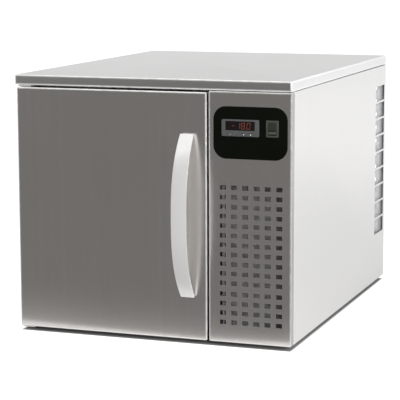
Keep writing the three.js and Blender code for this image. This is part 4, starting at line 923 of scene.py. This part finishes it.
# %% Back panel screws
SCREW_R, SCREW_RISE, SCREW_EDGE, SCREW_INSET = 3.8 * MM, 2.2 * MM, 1.5 * MM, 7 * MM
CROSS_LONG, CROSS_SHORT, CROSS_DEPTH = 2 * MM, 0.45 * MM, 1 * MM
low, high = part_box("back_panel")
seat = Vector((low.x + SCREW_INSET, high.y, low.z + SCREW_INSET))
top = seat + REAR * SCREW_RISE
screw = rod("screw", SCREW_R, seat, top, 20)
rounded(screw, SCREW_EDGE, 4, REAR)
cut(screw, block("bar", *grown(top, top, CROSS_LONG, CROSS_DEPTH, CROSS_SHORT)),
    block("bar", *grown(top, top, CROSS_SHORT, CROSS_DEPTH, CROSS_LONG)))
span = high - low - Vector((2, 0, 2)) * SCREW_INSET
spots = [(i / 3, k) for i in range(4) for k in (0, 1)] + [(i, 0.5) for i in (0, 1)]
screws = [copied(screw, "screw", Matrix.Translation((span.x * i, 0, span.z * k)))
          for i, k in spots if (i, k) != (0, 0)]
ready(joined("back_screws", screw, *screws), "screw_zinc", "galvanised_steel")

# %% [markdown]
# The feet are low rubber pucks with a recess for the screw. One is made from a short rod with both
# rims rounded and the bottom pushed in. The other three are copies.

# %% Feet
FOOT_EDGE, FOOT_RING, FOOT_RECESS = 2 * MM, 9 * MM, 4 * MM
low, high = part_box("foot_front_left")
middle = (low + high) / 2
puck = rod("foot_front_left_rubber", (high.x - low.x) / 2, (middle.x, middle.y, low.z),
           (middle.x, middle.y, high.z), 48)
rounded(puck, FOOT_EDGE, 4, DOWN, UP)
stepped(puck, DOWN, FOOT_RING, (0, 0, FOOT_RECESS))
for node in ("foot_front_right", "foot_rear_left", "foot_rear_right"):
    twin = copied(puck, f"{node}_rubber", Matrix.Translation(middle_of(node) - middle))
    ready(twin, "foot_rubber", "rubber", node)
ready(puck, "foot_rubber", "rubber", "foot_front_left")

# %% [markdown]
# The mains gland is a hexagon with rounded edges, a threaded barrel and a bore. The thread is a
# row of thin discs with rounded rims.

# %% Mains gland
HEXAGON_R, HEXAGON, HEXAGON_EDGE, BARREL_R, BORE_R = 13 * MM, 5 * MM, 1.1 * MM, 7.4 * MM, 4 * MM
THREAD_R, THREAD_WIDTH, THREAD_STEP, OUTER_THREADS = 8 * MM, 1 * MM, 1.5 * MM, 4
low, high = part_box("cord_gland")
middle, back_face = (low + high) / 2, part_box("back_panel")[1].y
gland = shaft("gland", HEXAGON_R, middle, back_face + 0.3 * MM, back_face + HEXAGON, 6)
rounded(gland, HEXAGON_EDGE, 3, REAR)
barrel = shaft("barrel", BARREL_R, middle, low.y, high.y, 40)
thread = shaft("thread", THREAD_R, middle, low.y, low.y + THREAD_WIDTH, 40)
rounded(thread, 0.4 * MM, 2, FRONT, REAR)
shift = high.y - THREAD_WIDTH - low.y - (OUTER_THREADS - 1) * THREAD_STEP
outer_thread = copied(thread, "outer_thread", Matrix.Translation((0, shift, 0)))
repeat(thread, 6, (0, THREAD_STEP, 0))
repeat(outer_thread, OUTER_THREADS, (0, THREAD_STEP, 0))
cut(gland, barrel, thread, outer_thread, operation="UNION")
cut(gland, shaft("bore", BORE_R, middle, low.y - 1 * MM, high.y + 1 * MM, 40))
ready(gland, "rear_black", "black_plastic", "cord_gland")

# %% [markdown]
# The hinge brackets are bent from 3 mm plate, with their edges broken by a file. The pin and its
# head under the door are riveted in and part of it.

# %% Hinge brackets
for end in ("upper", "lower"):
    redone(f"hinge_bracket_{end}", f"bracket_{end}", 0.5 * MM, 2, "bracket_steel", "brushed_steel")

# %% [markdown]
# The chamber's mouth is framed by a plastic ring that stops the cold, and the door's magnetic
# gasket closes against the steel outside it. Each is a rounded block with a smaller one taken out.
# The gasket is a bellows, so a groove runs round its outside.

# %% Chamber mouth
BREAKER, BREAKER_CORNER, CHAMBER_CORNER = 2.7 * MM, 14.7 * MM, 12 * MM
GASKET, GASKET_CORNER, GROOVE, GROOVE_SETBACK = 13 * MM, 29 * MM, 1.6 * MM, 3.6 * MM


def ring(name, node, width, outer, inner, edge):
    low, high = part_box(node)
    piece = soft_block(name, low, high, FRONT, outer, 0, steps=8)
    hole = grown(low, high, -width, 5 * MM, -width)
    cut(piece, soft_block("hole", *hole, FRONT, inner, 0, steps=8))
    return soften(piece, edge, 3, 50)


breaker = ring("breaker", "breaker_frame", BREAKER, BREAKER_CORNER, CHAMBER_CORNER, 0.7 * MM)
ready(breaker, "white_plastic", "white_plastic", "breaker_frame")
gasket = ring("gasket", "door_gasket", GASKET, GASKET_CORNER, GASKET_CORNER - GASKET, 1.9 * MM)
low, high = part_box("door_gasket")
outside = grown(low, high, GROOVE, -GROOVE_SETBACK, GROOVE)
core = grown(low, high, -GROOVE, 0, -GROOVE)
groove = soft_block("groove", *outside, FRONT, GASKET_CORNER, 0, steps=8)
cut(groove, soft_block("core", *core, FRONT, GASKET_CORNER - GROOVE, 0, steps=8))
cut(gasket, groove)
ready(gasket, "seal_rubber", "gasket_rubber", "door_gasket", body="door")

# %% [markdown]
# The tub is one deep-drawn sheet with round corners: a block without its front face, with a
# sheet's thickness inwards and holes for the drain and two refrigerant lines.

# %% Chamber tub
LINE_RADII, LINE_GAP = {"suction_line": 4.5 * MM, "capillary_line": 2 * MM}, 0.3 * MM
DRAIN_HOLE, LINE_BEND = 5.3 * MM, pi / 6
low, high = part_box("chamber_liner")
spout = middle_of("drain_spout")
holes = [shaft("drain_hole", DRAIN_HOLE, spout, high.y - PUNCH, high.y + PUNCH)]
for node, radius in LINE_RADII.items():
    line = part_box(node)[1]
    y, z = line.y - radius * cos(LINE_BEND), line.z - radius
    holes.append(rod("line_hole", radius + LINE_GAP, (high.x - PUNCH, y, z), (high.x + PUNCH, y, z),
                     24))
tub = folded_tray("tub", low, high, REAR, CHAMBER_CORNER + SHEET, 0.8 * MM, cuts=holes)
ready(tub, "liner_steel", "liner_steel", "chamber_liner")

# %% [markdown]
# The door's inner face has a raised field that stiffens it. A flat block and a smaller one with
# round corners are united, the front face is taken away, and the rest gets a sheet's thickness.

# %% Door inner face
FIELD_RISE, FIELD_CORNER, FIELD_INSET, FIELD_SHEET = 6 * MM, 12 * MM, 4 * MM, 0.8 * MM
low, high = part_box("door_liner")
mouth_low, mouth_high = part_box("chamber_liner")
sheet_rear = high.y - FIELD_RISE
inner_face = soft_block("inner_face", low, (high.x, sheet_rear, high.z), FRONT, 2 * MM, 0)
field_box = grown((mouth_low.x, sheet_rear - 0.5 * MM, mouth_low.z),
                  (mouth_high.x, high.y, mouth_high.z), -FIELD_INSET, 0, -FIELD_INSET)
field = soft_block("field", *field_box, REAR, FIELD_CORNER, 2.4 * MM, steps=6)
cut(inner_face, field, operation="UNION")
pick(inner_face, "FACE", facing(FRONT))
bpy.ops.mesh.delete(type="FACE")
wall(inner_face, FIELD_SHEET)
ready(inner_face, "door_inner_steel", "liner_steel", "door_liner", body="door")

# %% [markdown]
# The racks are two uprights on each side wall with five ledges. They only get rolled edges.

# %% Racks
for node in ("rack_left", "rack_right"):
    redone(node, f"{node}_rails", 0.5 * MM, 2, "polished_wire", "wire_steel")

# %% [markdown]
# A wire shelf has a border bent from one thick wire, two cross wires and twenty thin wires on top.
# The border starts as a plane whose corners are bevelled round. Its outline alone is turned into a
# curve with the wire's radius and made a mesh again. The second shelf is a copy.

# %% Wire shelves
BORDER_R, CROSS_R, FINE_R, FINE_WIRES, BORDER_CORNER = 2.6 * MM, 2.2 * MM, 1.6 * MM, 20, 14 * MM
low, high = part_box("wire_shelf_lower")
border_z, fine_z = low.z + BORDER_R, high.z - FINE_R
let_go()
bpy.ops.mesh.primitive_plane_add(size=1,
                                 location=((low.x + high.x) / 2, (low.y + high.y) / 2, border_z))
border = bpy.context.object
border.scale = (high.x - low.x - 2 * BORDER_R, high.y - low.y - 2 * BORDER_R, 1)
border = named("shelf_border")
pick(border, "VERT", lambda p: True)
bpy.ops.mesh.bevel(offset=BORDER_CORNER, segments=8, affect="VERTICES")
bpy.ops.mesh.select_mode(type="FACE")
bpy.ops.mesh.select_all(action="SELECT")
bpy.ops.mesh.delete(type="ONLY_FACE")
hold(border)
bpy.ops.object.convert(target="CURVE")
border.data.bevel_depth, border.data.bevel_resolution = BORDER_R, 4
bpy.ops.object.convert(target="MESH")
border = bpy.context.object


def straight_wire(start, end, radius, sides):
    bar = rod("wire", radius, start, end, sides)
    along = (Vector(end) - Vector(start)).normalized()
    rounded(bar, radius * 0.4, 1, along, -along)
    return bar


left, right = low.x + BORDER_R, high.x - BORDER_R
near, far = low.y + BORDER_R, high.y - BORDER_R
fine_step = (right - left) / (FINE_WIRES + 1)
fine = straight_wire((left + fine_step, near, fine_z), (left + fine_step, far, fine_z), FINE_R, 10)
repeat(fine, FINE_WIRES, (fine_step, 0, 0))
cross = [straight_wire((left, y, border_z), (right, y, border_z), CROSS_R, 14)
         for y in (near + 0.33 * (far - near), near + 0.67 * (far - near))]
shelf = joined("shelf_lower_wires", border, fine, *cross)
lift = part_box("wire_shelf_upper")[0].z - low.z
upper = copied(shelf, "shelf_upper_wires", Matrix.Translation((0, 0, lift)))
ready(shelf, "polished_wire", "wire_steel", "wire_shelf_lower", body="lower_shelf", smooth=50)
ready(upper, "polished_wire", "wire_steel", "wire_shelf_upper", body="upper_shelf", smooth=50)

# %% [markdown]
# The cover in front of the evaporator is a flat sheet with a round hole for the fan and four slots
# above and below for the returning air.

# %% Evaporator cover
COVER_CORNER, FAN_HOLE_R = 11.7 * MM, 96 * MM
AIR_SLOTS, AIR_SLOT, AIR_SLOT_STEP, AIR_SLOT_INSET = 4, (50 * MM, 9 * MM), 67.33 * MM, 25.7 * MM
low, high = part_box("evaporator_cover")
middle = (low + high) / 2
cover = soft_block("cover", low, high, FRONT, COVER_CORNER, 0, steps=6)
tools = [shaft("fan_hole", FAN_HOLE_R, middle, low.y - PUNCH, high.y + PUNCH, 96)]
for z in (low.z + AIR_SLOT_INSET, high.z - AIR_SLOT_INSET):
    centre = Vector((middle.x - (AIR_SLOTS - 1) / 2 * AIR_SLOT_STEP, middle.y, z))
    corners = grown(centre, centre, AIR_SLOT[0] / 2, PUNCH, AIR_SLOT[1] / 2)
    slot = soft_block("air_slot", *corners, FRONT, 4 * MM, 0, steps=5)
    tools.append(repeat(slot, AIR_SLOTS, (AIR_SLOT_STEP, 0, 0)))
cut(cover, *tools)
ready(cover, "cover_steel", "liner_steel", "evaporator_cover")

# %% [markdown]
# The fan guard is made of wire rings welded to spokes. Each ring is a torus that is flattened a
# little where the spokes are pressed on. The hub ring is filled by a small pressed disc.

# %% Fan guard
low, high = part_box("evaporator_fan_guard")
middle = (low + high) / 2
GUARD_R, GUARD_RINGS, GUARD_SPOKES, GUARD_WIRE = (high.x - low.x) / 2, 9, 6, 1.2 * MM
PRESSED = REAR * 0.3 * MM
guard_parts = []
for index in range(1, GUARD_RINGS + 1):
    let_go()
    bpy.ops.mesh.primitive_torus_add(major_segments=64, minor_segments=8, location=middle,
                                     major_radius=(GUARD_R - GUARD_WIRE) * index / GUARD_RINGS,
                                     minor_radius=GUARD_WIRE, rotation=(pi / 2, 0, 0))
    hoop = named("hoop")
    pick(hoop, "FACE", lambda centre, normal: normal.y > 0.6)
    bpy.ops.transform.translate(value=-PRESSED)
    let_go()
    guard_parts.append(hoop)
for index in range(GUARD_SPOKES):
    angle = 2 * pi * index / GUARD_SPOKES
    out = Vector((cos(angle), 0, sin(angle)))
    start, end = middle + out * GUARD_R / GUARD_RINGS, middle + out * (GUARD_R - GUARD_WIRE)
    guard_parts.append(straight_wire(start + PRESSED, end + PRESSED, GUARD_WIRE, 10))
boss = rod("boss", GUARD_R / GUARD_RINGS, middle - REAR * GUARD_WIRE, middle)
rounded(boss, 0.8 * MM, 3, FRONT)
guard = joined("guard", boss, *guard_parts)
ready(guard, "polished_wire", "wire_steel", "evaporator_fan_guard", smooth=50)

# %% [markdown]
# A fan wheel is a hub with seven blades. One blade starts as a flat bar cut into six lengths, each
# widened and turned about the blade's own line, most at the hub. The other six are copies turned
# about the shaft.

# %% Fan wheels
BLADES, BLADE_RINGS, BLADE_THICKNESS, BLADE_HALF, BLADE_PITCH = 7, 6, 1.6 * MM, 7 * MM, 22
BLADE_WIDENING, HUB_EDGE, HUB_DISH, BLADE_SUNK = 0.30, 5 * MM, 2 * MM, 3 * MM


def fan_wheel(name, node, hub_r, tip, finish, slot, body):
    low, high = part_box(node)
    centre = (low + high) / 2
    tip = tip or (high.x - low.x) / 2
    wheel = shaft(name, hub_r, centre, low.y, high.y, 48)
    rounded(wheel, HUB_EDGE, 5, FRONT)
    stepped(wheel, FRONT, hub_r * 0.3, (0, HUB_DISH, 0))
    root = hub_r - BLADE_SUNK
    blade = block("blade", *grown((centre.x + root, centre.y, centre.z),
                                  (centre.x + tip, centre.y, centre.z),
                                  0, BLADE_THICKNESS / 2, BLADE_HALF))
    pick(blade, "EDGE", running(RIGHT))
    bpy.ops.mesh.subdivide(number_cuts=BLADE_RINGS - 1)
    for index in range(BLADE_RINGS + 1):
        share = index / BLADE_RINGS
        out = root + (tip - root) * share
        point = (centre.x + out, centre.y, centre.z)
        pick(blade, "VERT", on_plane(RIGHT, point[0]))
        bpy.ops.transform.resize(value=(1, 1, out * BLADE_WIDENING / BLADE_HALF),
                                 center_override=point)
        bpy.ops.transform.rotate(value=radians(BLADE_PITCH * (1.25 - 0.5 * share)),
                                 orient_axis="X", center_override=point)
    at_tip = on_plane(RIGHT, centre.x + tip)
    bevelled(blade, lambda a, b: at_tip(a, b) and abs(a.z - b.z) < 3 * MM, 5 * MM, 4)
    others = [copied(blade, "blade", turn(2 * pi * i / BLADES, centre)) for i in range(1, BLADES)]
    joined(name, wheel, blade, *others)
    ready(wheel, finish, slot, node, body=body, smooth=40)


fan_wheel("evaporator_wheel", "evaporator_fan", 28 * MM, 91.6 * MM, "fan_black", "black_plastic",
          "evaporator_rotor")
fan_wheel("condenser_wheel", "condenser_fan", 22 * MM, None, "fan_metal", "aluminium",
          "condenser_rotor")
for node in ("evaporator_fan_motor", "condenser_fan_motor"):
    redone(node, f"{node}_body", 1.2 * MM, 3, "black_enamel", "black_enamel")

# %% [markdown]
# A coil is a stack of thin aluminium fins on copper tubes, with bends at both ends. One fin is
# repeated at a real pitch. A bend is a circle spun half a turn about the middle between its legs.

# %% Coils
FIN, FIN_STEP, FIN_RIM, END_PLATE = 0.35 * MM, 3 * MM, 0.8 * MM, 2 * MM
TUBE_R, TUBE_PITCH, BENDS, BEND_SQUASH, BEND_LEG = 4.5 * MM, 26 * MM, 2, 0.8, 1 * MM


def return_bend(x, y, z, toward):
    let_go()
    bpy.ops.mesh.primitive_circle_add(vertices=14, radius=TUBE_R, fill_type="NGON",
                                      location=(x, y, z - TUBE_PITCH / 2), rotation=(0, pi / 2, 0))
    bend = named("bend")
    pick(bend, "FACE", lambda centre, normal: True)
    push(toward * BEND_LEG, 0, 0)
    bpy.ops.mesh.spin(steps=10, angle=-toward * pi, center=(x + toward * BEND_LEG, y, z),
                      axis=(0, 1, 0))
    bpy.ops.mesh.select_all(action="SELECT")
    bpy.ops.transform.resize(value=(BEND_SQUASH, 1, 1), center_override=(x, y, z))
    bpy.ops.mesh.remove_doubles(threshold=0.01 * MM)
    bpy.ops.mesh.normals_make_consistent(inside=False)
    let_go()
    return bend


def finned(name, node, left, right, finish):
    low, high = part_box(node)
    first, middle = left + END_PLATE, (low + high) / 2
    fins = block(name, (first, low.y, low.z), (first + FIN, high.y, high.z))
    pick(fins, "FACE", lambda centre, normal: abs(normal.x) > 0.9)
    bpy.ops.mesh.inset(thickness=FIN_RIM, depth=0)
    let_go()
    repeat(fins, int((right - first) / FIN_STEP), (FIN_STEP, 0, 0))
    plates = [soft_block("end_plate", (x, low.y, low.z), (x + END_PLATE, high.y, high.z), RIGHT,
                         1.5 * MM, 0.4 * MM, both=True, steps=2) for x in (left - END_PLATE, right)]
    start, end = left - END_PLATE, right + END_PLATE
    tubes = []
    for index in range(BENDS):
        z = middle.z + (index - (BENDS - 1) / 2) * (high.z - low.z) / (BENDS + 1)
        for leg in (z - TUBE_PITCH / 2, z + TUBE_PITCH / 2):
            tubes.append(rod("tube", TUBE_R - 0.05 * MM, (start, middle.y, leg),
                             (end, middle.y, leg), 14))
        tubes += [return_bend(start, middle.y, z, -1), return_bend(end, middle.y, z, 1)]
    ready(joined(name, fins, *plates), finish, "aluminium", node)
    ready(joined(f"{name}_tubes", *tubes), "copper", "copper", smooth=50)


finned("evaporator_fins", "evaporator_coil", -223 * MM, 57 * MM, "fin_aluminium")
finned("condenser_fins", "condenser_coil", 135 * MM, 266 * MM, "condenser_aluminium")

# %% [markdown]
# The drip tray is a small folded tray, open at the top. The spout is a short tube, and the sensor
# is a steel capsule.

# %% Drip tray, spout and sensor
SPOUT_BORE = 3.8 * MM
low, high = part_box("drip_tray")
tray_hole = shaft("tray_hole", SPOUT_BORE, spout, high.y - PUNCH, high.y + PUNCH)
tray = folded_tray("tray", low, high, DOWN, 1.5 * MM, 1.2 * MM, cuts=[tray_hole])
ready(tray, "liner_steel", "liner_steel", "drip_tray")
low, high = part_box("drain_spout")
tube = shaft("spout", (high.x - low.x) / 2, spout, low.y, high.y)
cut(tube, shaft("bore", SPOUT_BORE, spout, low.y - 2 * MM, high.y + 2 * MM))
soften(tube, 0.4 * MM, 2, 50)
ready(tube, "white_plastic", "white_plastic", "drain_spout")
low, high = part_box("air_sensor")
middle = (low + high) / 2
probe = rod("probe", (high.x - low.x) / 2, (middle.x, middle.y, low.z),
            (middle.x, middle.y, high.z), 24)
rounded(probe, 2.2 * MM, 4, DOWN, UP)
ready(probe, "polished_wire", "wire_steel", "air_sensor", smooth=50)

# %% [markdown]
# The condensing unit stands behind the vents: a shroud with the fan, a sealed compressor on four
# rubber mounts, a drier and four copper lines. A subdivision surface makes the lines round.

# %% Condensing unit
redone("condenser_shroud", "shroud", 0.4 * MM, 2, "galvanised_sheet", "galvanised_steel")
redone("compressor", "compressor_shell", 1.6 * MM, 3, "black_enamel", "black_enamel", sharp=12,
       smooth=45)
for corner in ("front_left", "front_right", "rear_left", "rear_right"):
    redone(f"compressor_grommet_{corner}", f"mount_{corner}", 0.5 * MM, 2, "foot_rubber", "rubber")
redone("filter_drier", "drier", 1 * MM, 3, "copper", "copper", smooth=45)
for node in ("discharge_line", "liquid_line", "capillary_line", "suction_line"):
    tube = bake(merged(node, f"{node}_tube", flat=False), "SUBSURF", levels=1, render_levels=1)
    ready(tube, "copper", "copper", node, smooth=60)

# %% [markdown]
# The electrical box is a moulded case with a lid. The seam between them is a shallow groove, cut
# by a frame that is a little smaller inside than the case.

# %% Electrical box
CASE_CORNER, CASE_EDGE = 5 * MM, 3 * MM
SEAM_PLACE, SEAM, SEAM_DEPTH = 24 * MM, 0.8 * MM, 0.7 * MM
low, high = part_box("electrical_box")
case = soft_block("case", low, high, FRONT, CASE_CORNER, CASE_EDGE, both=True)
slab = (low.x, low.y + SEAM_PLACE, low.z), (high.x, low.y + SEAM_PLACE + SEAM, high.z)
seam = block("seam", *grown(*slab, 3 * MM, 0, 3 * MM))
core = grown(*slab, -SEAM_DEPTH, 2 * MM, -SEAM_DEPTH)
cut(seam, soft_block("core", *core, FRONT, CASE_CORNER - 0.6 * MM, 0))
cut(case, seam)
ready(case, "white_plastic", "white_plastic", "electrical_box")

# %% [markdown]
# The floor and the world are white to the eye and in reflections, while the light that falls on
# the object stays at a plain level. Under the object the floor has a painted shadow on top of the
# shadow it casts, and its glow in reflections grows with the distance, so that steel near it is
# not washed out.


# %% Floor and world
def any_ray(tree, *names):
    rays = wire("ShaderNodeLightPath", tree=tree)
    total = rays[names[0]]
    for name in names[1:]:
        total = sums("MAXIMUM", total, rays[name])
    return total


AMBIENT, FLOOR_GLOW, FLOOR_SHADOW = 0.8, 0.66, 0.22
SHEEN_NEAR, SHEEN_FAR, SHEEN_RANGE = 0.28, 0.56, (1.0, 3.0)
UNDER, UNDER_SHIFT, UNDER_FADE = Vector((0.280, 0.364, 0)), Vector((0, 0.023, 0)), 6 * MM
world = bpy.data.worlds.new("studio")
bpy.context.scene.world = world
world.use_nodes = True
seen = any_ray(world.node_tree, "Is Camera Ray", "Is Glossy Ray", "Is Transmission Ray")
plug(world.node_tree.nodes["Background"],
     {"Strength": spread(seen, AMBIENT, 1.0), "Color": grey(1.0)})

let_go()
bpy.ops.mesh.primitive_plane_add(size=40, location=(0, 0, 0))
floor = named("floor")
shader, place = start_material("pale_floor", Roughness=0.9, Emission_Strength=1.0)
from_middle = vectors("ABSOLUTE", vectors("SUBTRACT", place, UNDER_SHIFT))
beyond = vectors("MAXIMUM", vectors("SUBTRACT", from_middle, UNDER), (0.0, 0.0, -1.0))
outside = wire("ShaderNodeVectorMath", {0: beyond}, operation="LENGTH")["Value"]
lit = spread(outside, 0.0, 1.0, 0.0, UNDER_FADE)
pale = mixed(noise(place, 2.0), grey(0.54), grey(0.58))
sheen = spread(outside, SHEEN_NEAR, SHEEN_FAR, *SHEEN_RANGE)
glow = plus(times(any_ray(place.id_data, "Is Camera Ray"), FLOOR_GLOW),
            times(any_ray(place.id_data, "Is Glossy Ray"), sheen))
# Painted shadow: under the object the floor's colour darkens and its glow fades out.
plug(shader, {"Base Color": mixed(lit, grey(FLOOR_SHADOW), pale),
              "Emission Color": mixed(times(glow, lit), grey(0.0), grey(1.0))})
floor.data.materials.append(finishes["pale_floor"])
print("floor and world ready")

# %% [markdown]
# Steel shows whatever stands before it, so two grey cards, one upright and one on the floor, are
# seen only in reflections and give the door its even grey. The one on the floor is brighter near
# the door, for the door's foot. In second reflections the cards are bright, so that gaps between
# sheets don't turn black.

# %% Cards
CARD_LEVEL, CARD_NEAR, CARD_FADE, CARD_CURVE, CARD_AGAIN = 0.23, 0.30, 0.4, 4.0, 1.6
CARD_LEFT, CARD_RIGHT, CARD_TOP, CARD_AWAY, CARD_START = -2.6, 2.4, 1.6, 1.2, 0.04
door_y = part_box("door_skin")[0].y
shader, place = start_material("card_grey", Roughness=1.0, Specular_IOR_Level=0.0,
                               Base_Color=grey(0.0), Emission_Strength=1.0)
nearness = spread(part(place, 1), 0.0, 1.0, door_y - CARD_FADE, door_y)
brighter = times(sums("POWER", nearness, CARD_CURVE), CARD_NEAR)
depth = wire("ShaderNodeLightPath", tree=place.id_data)["Ray Depth"]
again = spread(depth, 0.0, CARD_AGAIN, 1.0, 2.0)
shade = mixed(noise(place, 1.2), grey(CARD_LEVEL * 0.95, 0.02), grey(CARD_LEVEL * 1.05, 0.02))
plug(shader, {"Emission Color": vectors("ADD", shade, plus(brighter, again))})
far = door_y - CARD_AWAY
cards = [block("upright_card", (CARD_LEFT, far - 0.01, 0), (CARD_RIGHT, far, CARD_TOP)),
         block("floor_card", (CARD_LEFT, far, 0.5 * MM), (CARD_RIGHT, door_y - CARD_START, 1 * MM))]
for card in cards:
    card.data.materials.append(finishes["card_grey"])
    for ray in ("camera", "diffuse", "transmission", "volume_scatter", "shadow"):
        setattr(card, f"visible_{ray}", False)

# %% [markdown]
# Three soft lamps light the object. They don't show in reflections, where a bright rectangle would
# clip on the handle and the edges.


# %% Lamps
def lamp(name, place, aim, size, power):
    let_go()
    bpy.ops.object.light_add(type="AREA", location=place)
    light = bpy.context.object
    light.name = name
    light.data.shape = "RECTANGLE"
    light.data.size, light.data.size_y = size
    light.data.energy = power
    light.visible_glossy = False
    light.rotation_euler = (Vector(aim) - Vector(place)).to_track_quat("-Z", "Y").to_euler()
    print(name, "at", place, power, "W")


lamp("key", (-1.6, -2.4, 2.4), (0, -0.1, 0.25), (1.6, 1.2), 40)
lamp("fill", (1.8, -2.2, 0.9), (0.1, 0, 0.28), (1.2, 1.2), 80)
lamp("side", (3.2, 2.2, 1.2), (0.28, 0.1, 0.25), (3.0, 2.4), 30)
